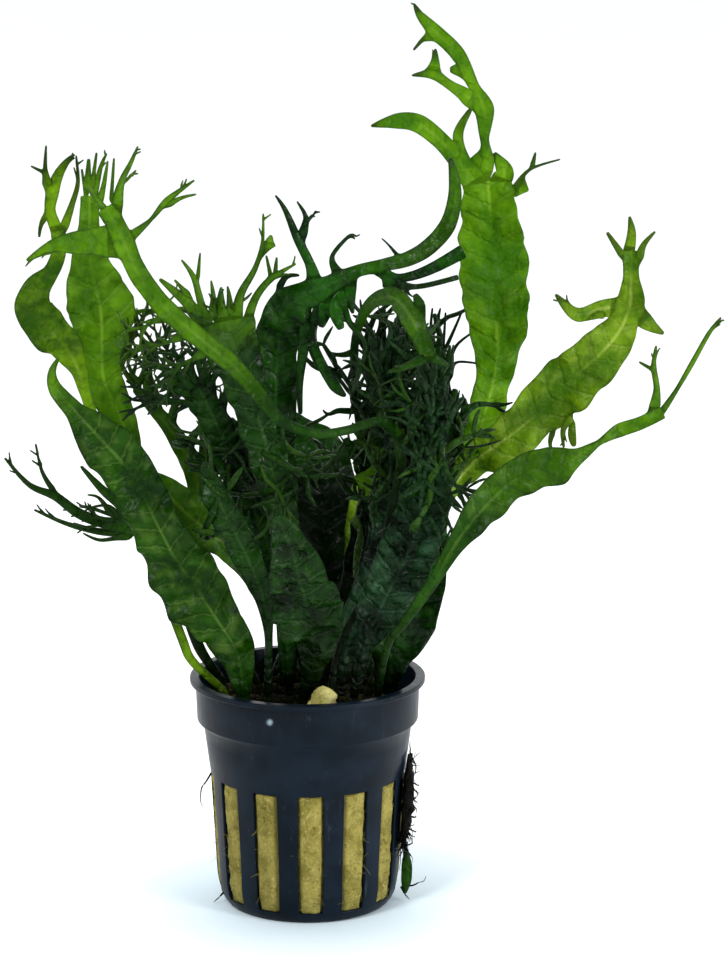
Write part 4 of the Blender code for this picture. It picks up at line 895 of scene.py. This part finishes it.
    def finish(self, name, finish, slot, *nodes):
        """The leaf as a piece, with the modifiers that smooth it and give it its thickness."""
        bmesh.ops.recalc_face_normals(self.mesh, faces=self.mesh.faces)
        bmesh.ops.scale(self.mesh, vec=(MM, MM, MM), verts=self.mesh.verts)
        mesh = bpy.data.meshes.new(name)
        self.mesh.to_mesh(mesh)
        self.mesh.free()
        leaf = piece_of(name, mesh, finish, slot, *nodes)
        leaf.vertex_groups.new(name="thickness")
        solid = leaf.modifiers.new("thickness", "SOLIDIFY")
        solid.thickness = STALK_THICKNESS * MM
        solid.offset = 0
        solid.vertex_group = "thickness"
        solid.use_quality_normals = True
        smoothing = leaf.modifiers.new("smooth", "SUBSURF")
        smoothing.levels = smoothing.render_levels = 1
        mesh.shade_smooth()
        return leaf


def open_at(x, z):
    """Whether the background shows here, so that no small twig crosses it."""
    return any(left < x < right and low < z < high for left, right, low, high in GAPS)


def fork(lobes, draws, x, z, angle, length, width, level, spread=26):
    """Adds a twig that leaves (x, z) at this angle in degrees, and the twigs that fork from it."""
    bend = angle + draws.uniform(-16, 16)
    half = length / 2
    middle = (x + half * math.cos(math.radians(angle)), z + half * math.sin(math.radians(angle)))
    end = (middle[0] + half * math.cos(math.radians(bend)), middle[1] + half * math.sin(math.radians(bend)))
    if open_at(*middle) or open_at(*end):
        return
    last = 0.8 * width if level else 0.35
    lobes.append([(x, z, draws.uniform(-2.5, 2.5)), (*middle, width), (*end, last)])
    if not level:
        return
    for side in (-1, 1):
        fork(lobes, draws, *end, bend + side * spread * draws.uniform(0.5, 1.4),
             length * draws.uniform(0.6, 1.0), last * draws.uniform(0.75, 1.0), level - 1, spread)
    if draws.random() < 0.6:
        side = draws.choice((-1, 1))
        fork(lobes, draws, *middle, angle + side * spread * draws.uniform(1.1, 2.0),
             length * draws.uniform(0.5, 0.8), 0.7 * width, 0, spread)


def crest(name, tip, heading, reach, spread):
    """The forking fingers at the end of a crested frond, as lobes. The draws are seeded by its name."""
    lobes = []
    draws = random.Random(name)
    for side in (-1, -0.5, 0, 0.5, 1):
        x, z = tip[0] + 1.6 * side, tip[1] - 1.5 * abs(side)
        length = reach * draws.uniform(0.55, 0.9)
        fork(lobes, draws, x, z, heading - side * spread, length, 1.9, 2, spread * 0.75)
    return lobes


def prongs(lobes, draws):
    """Short forks near the pointed ends of these twigs."""
    made = []
    for lobe in lobes:
        x, z, width = lobe[-1]
        start_x, start_z = lobe[-2][:2]
        if width > 0.6 or draws.random() < 0.35:
            continue
        heading = math.degrees(math.atan2(z - start_z, x - start_x))
        length = math.hypot(z - start_z, x - start_x)
        for share, side in zip((draws.uniform(0.15, 0.5), draws.uniform(0.5, 0.85)), (-1, 1)):
            side *= draws.choice((-1, 1))
            foot = (start_x + share * (x - start_x), start_z + share * (z - start_z))
            fork(made, draws, *foot, heading + side * draws.uniform(22, 48),
                 min(2.6, max(1.2, length * draws.uniform(0.25, 0.5))), 0.45, 0)
    return made


def build_frond(name, frond, finishes):
    """One frond, from its foot in the rhizome to the tips of its twigs."""
    leaf = Leaf(name, frond)
    foot = Vector((*frond["foot"], FOOT_HEIGHT))
    stops = [(foot - Vector((0, 0, 2)), 1.8), (foot, 1.6)]
    stops += [(placed(x, z, depth), width) for x, z, depth, width in frond["midrib"]]
    leaf.blade(stops)
    draws = random.Random(name + " prongs")
    lobes = list(frond.get("lobes", []))
    if "crest" in frond:
        lobes += crest(name, frond["midrib"][-1], **frond["crest"])
    else:
        lobes += prongs(lobes, draws)
    lobes += TWIGS.get(name, [])
    for spray in SPRAYS.get(name, []):
        fork(lobes, draws, *spray)
    for (x, z, gain, *tint), *stops in lobes:
        leaf.tint = tint[0] if tint else 0.0
        leaf.lobe((x, z), gain, stops)
    leaf.tint = 0.0
    if name in TUFTS:
        leaf.tufts(draws, *TUFTS[name])
    palette = frond["palette"]
    leaf.finish(name + "_leaf", finishes[palette], LEAF_SLOTS[palette], name)


def body_radius(z):
    """The pot's outer radius below the collar: rounded in at the base, and wider above the slots."""
    if z > SLOT_HIGH:
        rise = (z - SLOT_HIGH) / (COLLAR_BOTTOM - SLOT_HIGH)
        return BODY_SHOULDER_RADIUS + (BODY_TOP_RADIUS - BODY_SHOULDER_RADIUS) * min(1, rise)
    if z < BASE_EDGE:
        return BASE_RADIUS + (BODY_BOTTOM_RADIUS - BASE_RADIUS) * math.sqrt(1 - (1 - z / BASE_EDGE) ** 2)
    rise = (z - BASE_EDGE) / (SLOT_HIGH - BASE_EDGE)
    return BODY_BOTTOM_RADIUS + (BODY_SHOULDER_RADIUS - BODY_BOTTOM_RADIUS) * rise


def slot_half_angle(z, radius):
    """Half the angle that a slot's width spans at this height."""
    rise = min(1, max(0, (z - SLOT_LOW) / (SLOT_HIGH - SLOT_LOW)))
    width = SLOT_BOTTOM_WIDTH + (SLOT_WIDTH - SLOT_BOTTOM_WIDTH) * min(1, 3 * rise)
    return math.asin(width / 2 / radius)


def pot_profiles():
    """The pot's wall as rows of (outer radius, outer z, inner radius, inner z), from the base up."""
    rows = [(BASE_RADIUS, 0, BASE_RADIUS - POT_WALL, POT_FLOOR)]
    heights = EDGE_HEIGHTS + SLOT_HEIGHTS
    heights += [SLOT_HIGH + (COLLAR_BOTTOM - SLOT_HIGH) * part / 4 for part in range(1, 5)]
    for z in heights:
        rows.append((body_radius(z), z, body_radius(z) - POT_WALL, max(z, POT_FLOOR + 0.2 * z)))
    inner_step = COLLAR_RADIUS - POT_WALL
    chamfered = (COLLAR_RADIUS - COLLAR_CHAMFER, COLLAR_BOTTOM + COLLAR_STEP)
    rows.append((*chamfered, inner_step - COLLAR_CHAMFER, COLLAR_BOTTOM + 2))
    for radius, down in ((COLLAR_RADIUS, LIP_HEIGHT), (LIP_RADIUS, 0.8 * LIP_HEIGHT)):
        rows.append((radius, POT_HEIGHT - down, inner_step, POT_HEIGHT - down))
    rows.append((LIP_RADIUS, POT_HEIGHT, inner_step + 0.1, POT_HEIGHT))
    return rows


def build_pot(finish):
    """The pot: two turned walls with open slots between their ribs, and rounded edges."""
    rows = pot_profiles()
    low = 1 + len(EDGE_HEIGHTS)
    high = low + len(SLOT_HEIGHTS) - 1
    steps = [("slot", part / 2) for part in (-2, -1, 0, 1)] + [("rib", part / 4) for part in range(4)]
    columns = [(slot, *step) for slot in range(SLOT_COUNT) for step in steps]
    points = [(0, 0, 0), (0, 0, POT_FLOOR)]
    places, faces = {}, []
    for column, (slot, kind, part) in enumerate(columns):
        for row, (outer, outer_z, inner, inner_z) in enumerate(rows):
            half_slot = slot_half_angle(outer_z, outer)
            offset = part * half_slot if kind == "slot" else half_slot + part * 2 * (HALF_PITCH - half_slot)
            angle = SLOT_TURN + slot * 2 * HALF_PITCH + offset
            for wall, radius, z in ((0, outer, outer_z), (1, inner, inner_z)):
                places[column, row, wall] = len(points)
                points.append(polar(radius, angle, z))

    def add_face(*corners):
        faces.append([places[corner] for corner in corners])

    top = len(rows) - 1
    for here, (_, kind, part) in enumerate(columns):
        after = (here + 1) % len(columns)
        for wall in (0, 1):
            faces.append((wall, places[here, 0, wall], places[after, 0, wall]))
        add_face((here, top, 0), (after, top, 0), (after, top, 1), (here, top, 1))
        for row in range(top):
            if kind == "slot" and low <= row < high:
                continue
            for wall in (0, 1):
                add_face((here, row, wall), (after, row, wall), (after, row + 1, wall),
                         (here, row + 1, wall))
        if kind == "slot":
            for row in (low, high):
                add_face((here, row, 0), (after, row, 0), (after, row, 1), (here, row, 1))
        if (kind, part) in (("slot", -1), ("rib", 0)):
            for row in range(low, high):
                add_face((here, row, 0), (here, row + 1, 0), (here, row + 1, 1), (here, row, 1))
    pot = mesh_piece("pot_shell", points, faces, finish, "pot_plastic", "pot")
    rounding = pot.modifiers.new("rounding", "BEVEL")
    rounding.width = 0.22 * MM
    rounding.segments = 3
    rounding.limit_method = "ANGLE"
    rounding.angle_limit = math.radians(40)
    pot.data.set_sharp_from_angle(angle=math.radians(60))


def add_band(faces, start, size):
    """Adds the faces between the ring of this many points that starts here and the ring after it."""
    for index in range(size):
        after = (index + 1) % size
        faces.append((start + index, start + after, start + size + after, start + size + index))


def turned_lump(rings):
    """The points and faces of a closed solid of stacked rings, with a flat cap at each end."""
    size = len(rings[0])
    points = [Vector(point) for ring in rings for point in ring]
    faces = [tuple(range(size)), tuple(range(len(points) - size, len(points)))]
    for level in range(len(rings) - 1):
        add_band(faces, level * size, size)
    return points, faces


def strand(points, faces, path, girth, sides=4):
    """Adds a thin tapered thread along this path to a mesh's points and faces."""
    start = len(points)
    last = len(path) - 1
    for index, place in enumerate(path):
        tangent = (path[min(index + 1, last)] - path[max(index - 1, 0)]).normalized()
        across = tangent.orthogonal().normalized()
        other = tangent.cross(across)
        radius = girth * (1 - 0.75 * index / last)
        for angle in around(sides):
            points.append(place + (across * math.cos(angle) + other * math.sin(angle)) * radius)
    for index in range(last):
        add_band(faces, start + index * sides, sides)
    faces.append(tuple(range(start, start + sides)))
    faces.append(tuple(range(len(points) - sides, len(points))))


def wander(start, heading, length, bend, draws, pull=Vector()):
    """A crooked path of short steps from start, turning by up to bend at each and drawn by a pull."""
    path = [start]
    steps = max(3, round(length / 1.1))
    way = heading.normalized()
    for _ in range(steps):
        way = (way + drawn(draws, *[(-bend, bend)] * 3) + pull).normalized()
        path.append(path[-1] + way * length / steps)
    return path


def build_rockwool(finish):
    """The plug, pressed into the slots, with loose fibres over what shows of it."""
    draws = random.Random("rockwool")
    middles = [SLOT_TURN + slot * 2 * HALF_PITCH for slot in range(SLOT_COUNT)]
    rib_low, rib_top = SLOT_LOW + 0.15, SLOT_HIGH - 0.15
    levels, parts = 34, 12
    heights = [POT_FLOOR + 0.3, rib_low - 0.05]
    heights += [rib_low + (rib_top - rib_low) * level / levels for level in range(levels + 1)]
    heights += [rib_top + 0.05, WOOL_TOP - 1, WOOL_TOP]
    rings = []
    for level, z in enumerate(heights):
        pressed = 1 < level < len(heights) - 3
        outer = body_radius(z)
        wall = outer - POT_WALL - 0.3 - (1.6 if z < SLOT_LOW else 0.1) - (1.0 if z == WOOL_TOP else 0)
        half_slot = slot_half_angle(z, outer) - 0.16 / outer
        ring = []
        for slot, middle in enumerate(middles):
            for part in range(parts + 1):
                share = 2 * part / parts - 1
                lumps = noise.noise(Vector((slot * 9 + share * 1.6, z / 2.6, 4))) * 0.35
                lumps += noise.noise(Vector((slot * 9 + share * 4.0, z / 0.9, 8))) * 0.2
                swell = outer - WOOL_SET_BACK + lumps - 0.5 * abs(share) ** 6
                radius = swell if pressed and 0 < part < parts else wall
                ring.append(polar(radius, middle + half_slot * share, z))
        rings.append(ring)
    points, faces = turned_lump(rings)
    for middle in middles:
        for _ in range(WOOL_THREADS):
            z = draws.uniform(SLOT_LOW + 0.8, SLOT_HIGH - 0.8)
            angle = middle + slot_half_angle(z, body_radius(z)) * draws.uniform(-0.85, 0.85)
            outwards = polar(1, angle, 0)
            along = Vector((-outwards.y, outwards.x, 1)) * drawn(draws, (-1, 1), (-1, 1), (-1, 1))
            start = outwards * (body_radius(z) - 0.35) + Vector((0, 0, z))
            strand(points, faces, wander(start, along, draws.uniform(1, 3), 0.3, draws), 0.07, 3)
    mesh_piece("rockwool_plug", points, faces, finish, "rockwool", "rockwool")


def build_crumb(finish):
    """The loose lump of rockwool behind the front of the rim."""
    centre, base = Vector((3.2, -18.6, 0)), MAT_TOP + 0.3
    height, levels = 9.4, 14
    rings = []
    for level in range(levels + 1):
        z = height * level / levels
        rise = level / levels
        half_width = 3.9 * (1 - rise ** 4) ** 0.5 * (1 - 0.25 * rise) + 0.15
        ring = []
        for angle in around(20):
            lump = 1 + 0.5 * noise.noise(Vector((math.cos(angle) * 1.6, math.sin(angle) * 1.6, z / 1.8)))
            ring.append((centre.x + half_width * lump * math.cos(angle) + 0.06 * z,
                         centre.y + 0.6 * half_width * lump * math.sin(angle) + 0.12 * z, base + z))
        rings.append(ring)
    mesh_piece("rockwool_lump", *turned_lump(rings), finish, "rockwool", "rockwool_crumb")


def build_root_mat(finish):
    """The felt of dark roots over the rockwool: a lumpy pad under hundreds of crooked threads."""
    draws = random.Random("root mat")
    points, faces = [Vector((0, 0, MAT_TOP + 0.4))], []
    sides, rounds = 48, 14
    for level in range(1, rounds + 1):
        for angle in around(sides):
            place = polar((MAT_RADIUS - 0.2) * level / rounds, angle, MAT_TOP)
            place.z += 0.9 * noise.noise(place / 3.0) + 0.5 * noise.noise(place / 1.3)
            place.z -= 0.6 * (level / rounds) ** 4
            points.append(place)
    points += [Vector((*place.xy, MAT_TOP - 2.2)) for place in points[-sides:]]
    for side in range(sides):
        faces.append((0, 1 + side, 1 + (side + 1) % sides))
    for level in range(rounds):
        add_band(faces, 1 + level * sides, sides)
    faces.append(tuple(range(len(points) - sides, len(points))))
    limit = MAT_RADIUS - 0.6
    for _ in range(MAT_THREADS):
        angle, radius = draws.uniform(0, 2 * math.pi), MAT_RADIUS * draws.random() ** 0.6
        start = polar(radius, angle, MAT_TOP + 0.3)
        if start.xy.length > MAT_RADIUS - 1.5:
            start.xy *= 0.9
        heading = drawn(draws, (-1, 1), (-1, 1), (-0.1, 1.3))
        path = wander(start, heading, draws.uniform(4, 13), 0.35, draws, Vector((0, 0, -0.03)))
        for place in path:
            mound = 2.5 + (10 if place.y > -8 else 5) * (1 - (place.xy.length / MAT_RADIUS) ** 2)
            place.z = min(max(place.z, MAT_TOP - 0.2), MAT_TOP + mound)
            if place.xy.length > limit:
                place.xy = place.xy * (limit / place.xy.length)
        strand(points, faces, path, draws.uniform(0.12, 0.28))
    mesh_piece("root_felt", points, faces, finish, "roots", "root_mat")


def build_rhizome(row, finish):
    """A creeping stem with the stubs and scales of old stalks, under the feet of its fronds."""
    feet = sorted(frond["foot"] for frond in FRONDS.values() if frond["rhizome"] == row)
    (first_x, first_y), (last_x, last_y) = feet[0], feet[-1]
    overhang, end_girth = 2.4, 0.5
    course = [(first_x - overhang, first_y, end_girth)]
    course += [(x, y, 1.0) for x, y in feet]
    course += [(last_x + overhang, last_y, end_girth)]
    stations = smooth_path([(Vector((x, y, RHIZOME_HEIGHT)), girth) for x, y, girth in course], 0.8)
    rings = []
    for place, girth in stations:
        ring = []
        for angle in around(14):
            spot = Vector((0, math.cos(angle), math.sin(angle)))
            lump = 0.92 + 0.16 * noise.noise((place + spot * 2) / 1.3)
            ring.append(place + spot * (RHIZOME_RADIUS * girth * lump))
        rings.append(ring)
    points, faces = turned_lump(rings)
    draws = random.Random("rhizome " + row)
    for _ in range(STEM_THREADS):
        place, _ = draws.choice(stations)
        heading = drawn(draws, (-1, 1), (-1, 1), (-0.6, 0.9))
        start = place + heading.normalized() * (0.7 * RHIZOME_RADIUS)
        strand(points, faces, wander(start, heading, draws.uniform(1.5, 4), 0.35, draws), 0.14)
    mesh_piece("rhizome_stem_" + row, points, faces, finish, "rhizome", "rhizome_" + row)


def build_root_tuft(finish):
    """The dark roots outside the right-hand slot."""
    draws = random.Random("root tuft")
    low, height, levels = 13.2, 22.8, 27
    rings = []
    for level in range(levels + 1):
        z = low + height * level / levels
        bulk = math.sin(math.pi * (level + 0.6) / (levels + 1.2)) ** 0.6
        ring = []
        for angle in around(16):
            lump = 1 + 0.5 * noise.noise(Vector((math.cos(angle), math.sin(angle), z / 1.8)))
            reach = body_radius(z) + 0.35 + 2.3 * bulk * lump * (1 + math.cos(angle)) / 2
            ring.append(polar(reach, TUFT_TURN + 0.17 * bulk * lump * math.sin(angle), z))
        rings.append(ring)
    points, faces = turned_lump(rings)
    for _ in range(TUFT_THREADS):
        z = draws.uniform(14, 36)
        turn, reach = TUFT_TURN + draws.uniform(-0.15, 0.15), body_radius(z) + draws.uniform(0.5, 1.7)
        heading = drawn(draws, (-0.2, 0.25), (-0.6, 0.6), (-1.6, 0.2))
        path = wander(polar(reach, turn, z), heading, draws.uniform(3, 7), 0.34, draws)
        for place in path:
            reach = place.xy.length
            limit = min(max(reach, body_radius(place.z) + 0.35), body_radius(place.z) + 3.4)
            place.xy = place.xy * (limit / reach)
        strand(points, faces, path, draws.uniform(0.16, 0.34))
    mesh_piece("root_tuft_threads", points, faces, finish, "roots", "root_tuft")


HAIR_ROOTS = {
    "root_hair_left": [(-22.4, 30.4, 0), (-23.9, 27.9, -1), (-24.9, 26.4, -2), (-25.2, 23.6, -2),
                       (-24.9, 22.4, -1), (-24.5, 21.7, 0)],
    "root_hair_low_left": [(-19.9, 0.9, -5), (-21.2, -0.6, -5), (-22.4, -1.7, -6)],
    "root_hair_right": [(22.6, 2.4, 0), (24.6, 2.5, -2), (26, 3.2, -4), (27.2, 3.6, -5), (27.7, 4.8, -5)],
    "root_hair_low_right": [(21.8, 2.2, -3), (22.7, 0.4, -4), (23.8, -0.9, -6)],
}


def build_hair_roots(finish):
    """Single hair roots that curl away from the slots, laid out as they are seen from the front."""
    for name, stops in HAIR_ROOTS.items():
        path = [place for place, _ in smooth_path([(placed(x, z, depth), 1) for x, z, depth in stops], 0.6)]
        points, faces = [], []
        strand(points, faces, path, 0.26, 6)
        mesh_piece(name, points, faces, finish, "roots")


def build_stray_leaf(finishes):
    """The small leaf that hangs from the tuft of roots outside the pot."""
    leaf = Leaf("stray_leaf", dict(ruffle=0.05, fold=0.1, quilt=0.1, twist=0.0, deep=(-9, 0)))
    points = [(22.9, -4.7, 12.4, 0.9), (23.1, -4.9, 9.4, 2.6), (23, -5, 5.5, 2.6), (22.6, -5, 2.2, 0.7)]
    leaf.blade([(Vector((x, y, z)), width) for x, y, z, width in points])
    leaf.finish("stray_leaf_blade", finishes["medium"], "frond_bright", "stray_leaf")


def add_light(name, place, target, size, power):
    """A soft white rectangular lamp at this place in metres, turned to the target."""
    lamp = bpy.data.lights.new(name, "AREA")
    lamp.shape = "RECTANGLE"
    lamp.size, lamp.size_y = size
    lamp.energy = power
    made = bpy.data.objects.new(name, lamp)
    made.location = place
    made.rotation_euler = (Vector(target) - Vector(place)).to_track_quat("-Z", "Y").to_euler()
    bpy.context.scene.collection.objects.link(made)


def studio_world():
    """White studio walls, dim on the viewer's side and bright behind the plant."""
    world = bpy.data.worlds.new("studio")
    world.use_nodes = True
    tree = world.node_tree
    direction = tree.nodes.new("ShaderNodeTexCoord").outputs["Generated"]
    split = tree.nodes.new("ShaderNodeSeparateXYZ")
    tree.links.new(direction, split.inputs[0])
    wall = tree.nodes.new("ShaderNodeMapRange")
    wall.interpolation_type = "SMOOTHSTEP"
    tree.links.new(split.outputs["Y"], wall.inputs["Value"])
    for socket, value in (("From Min", -0.5), ("From Max", 0.6), ("To Min", 0.22), ("To Max", 1.9)):
        wall.inputs[socket].default_value = value
    tree.links.new(wall.outputs["Result"], tree.nodes["Background"].inputs["Strength"])
    tree.nodes["Background"].inputs["Color"].default_value = (0.97, 0.99, 1.0, 1)
    return world


def build_studio():
    """The camera, the pale floor and the soft white light."""
    scene = bpy.context.scene
    camera = bpy.data.objects.new("camera", bpy.data.cameras.new("camera"))
    camera.data.sensor_width = SENSOR_WIDTH
    camera.data.lens = FOCAL_LENGTH
    camera.data.clip_start = 0.01
    camera.data.clip_end = 60
    camera.location = VIEWPOINT * MM
    camera.rotation_euler = (CAMERA_PITCH, 0, 0)
    scene.collection.objects.link(camera)
    scene.camera = camera
    floor = bpy.data.meshes.new("floor")
    reach = 12.0
    floor.from_pydata([(-reach, -reach, 0), (reach, -reach, 0), (reach, reach, 0), (-reach, reach, 0)], [],
                      [(0, 1, 2, 3)])
    floor.materials.append(floor_finish())
    ground = bpy.data.objects.new("floor", floor)
    scene.collection.objects.link(ground)
    scene.world = studio_world()
    scene.view_settings.view_transform = "Standard"
    middle = (0, 0, 0.1)
    add_light("key_light", (-0.5, -0.7, 0.95), middle, (0.3, 0.3), 9.5)
    add_light("fill_light", (0.55, -0.5, 0.8), middle, (0.25, 0.25), 3)
    add_light("strip_light", (0.68, -0.46, 0.1), (0, 0, 0.04), (0.05, 0.2), 4.5)


def main():
    """Every piece of the plant and its pot, and the studio."""
    finishes = {name: leaf_finish(name, **colours) for name, colours in LEAF_COLOURS.items()}
    build_pot(pot_finish())
    build_rockwool(wool_finish("rockwool_fibre", "6e662a", "8a8040"))
    build_crumb(wool_finish("rockwool_dry", "8f8848", "c0b878"))
    roots = root_finish("root_fibre", "020201", "0a0706")
    build_root_mat(roots)
    build_root_tuft(roots)
    build_hair_roots(roots)
    stem = root_finish("rhizome_bark", "15180a", "3d3a1c")
    for row in RHIZOMES:
        build_rhizome(row, stem)
    for name, frond in FRONDS.items():
        build_frond(name, frond, finishes)
    build_stray_leaf(finishes)
    build_studio()


main()
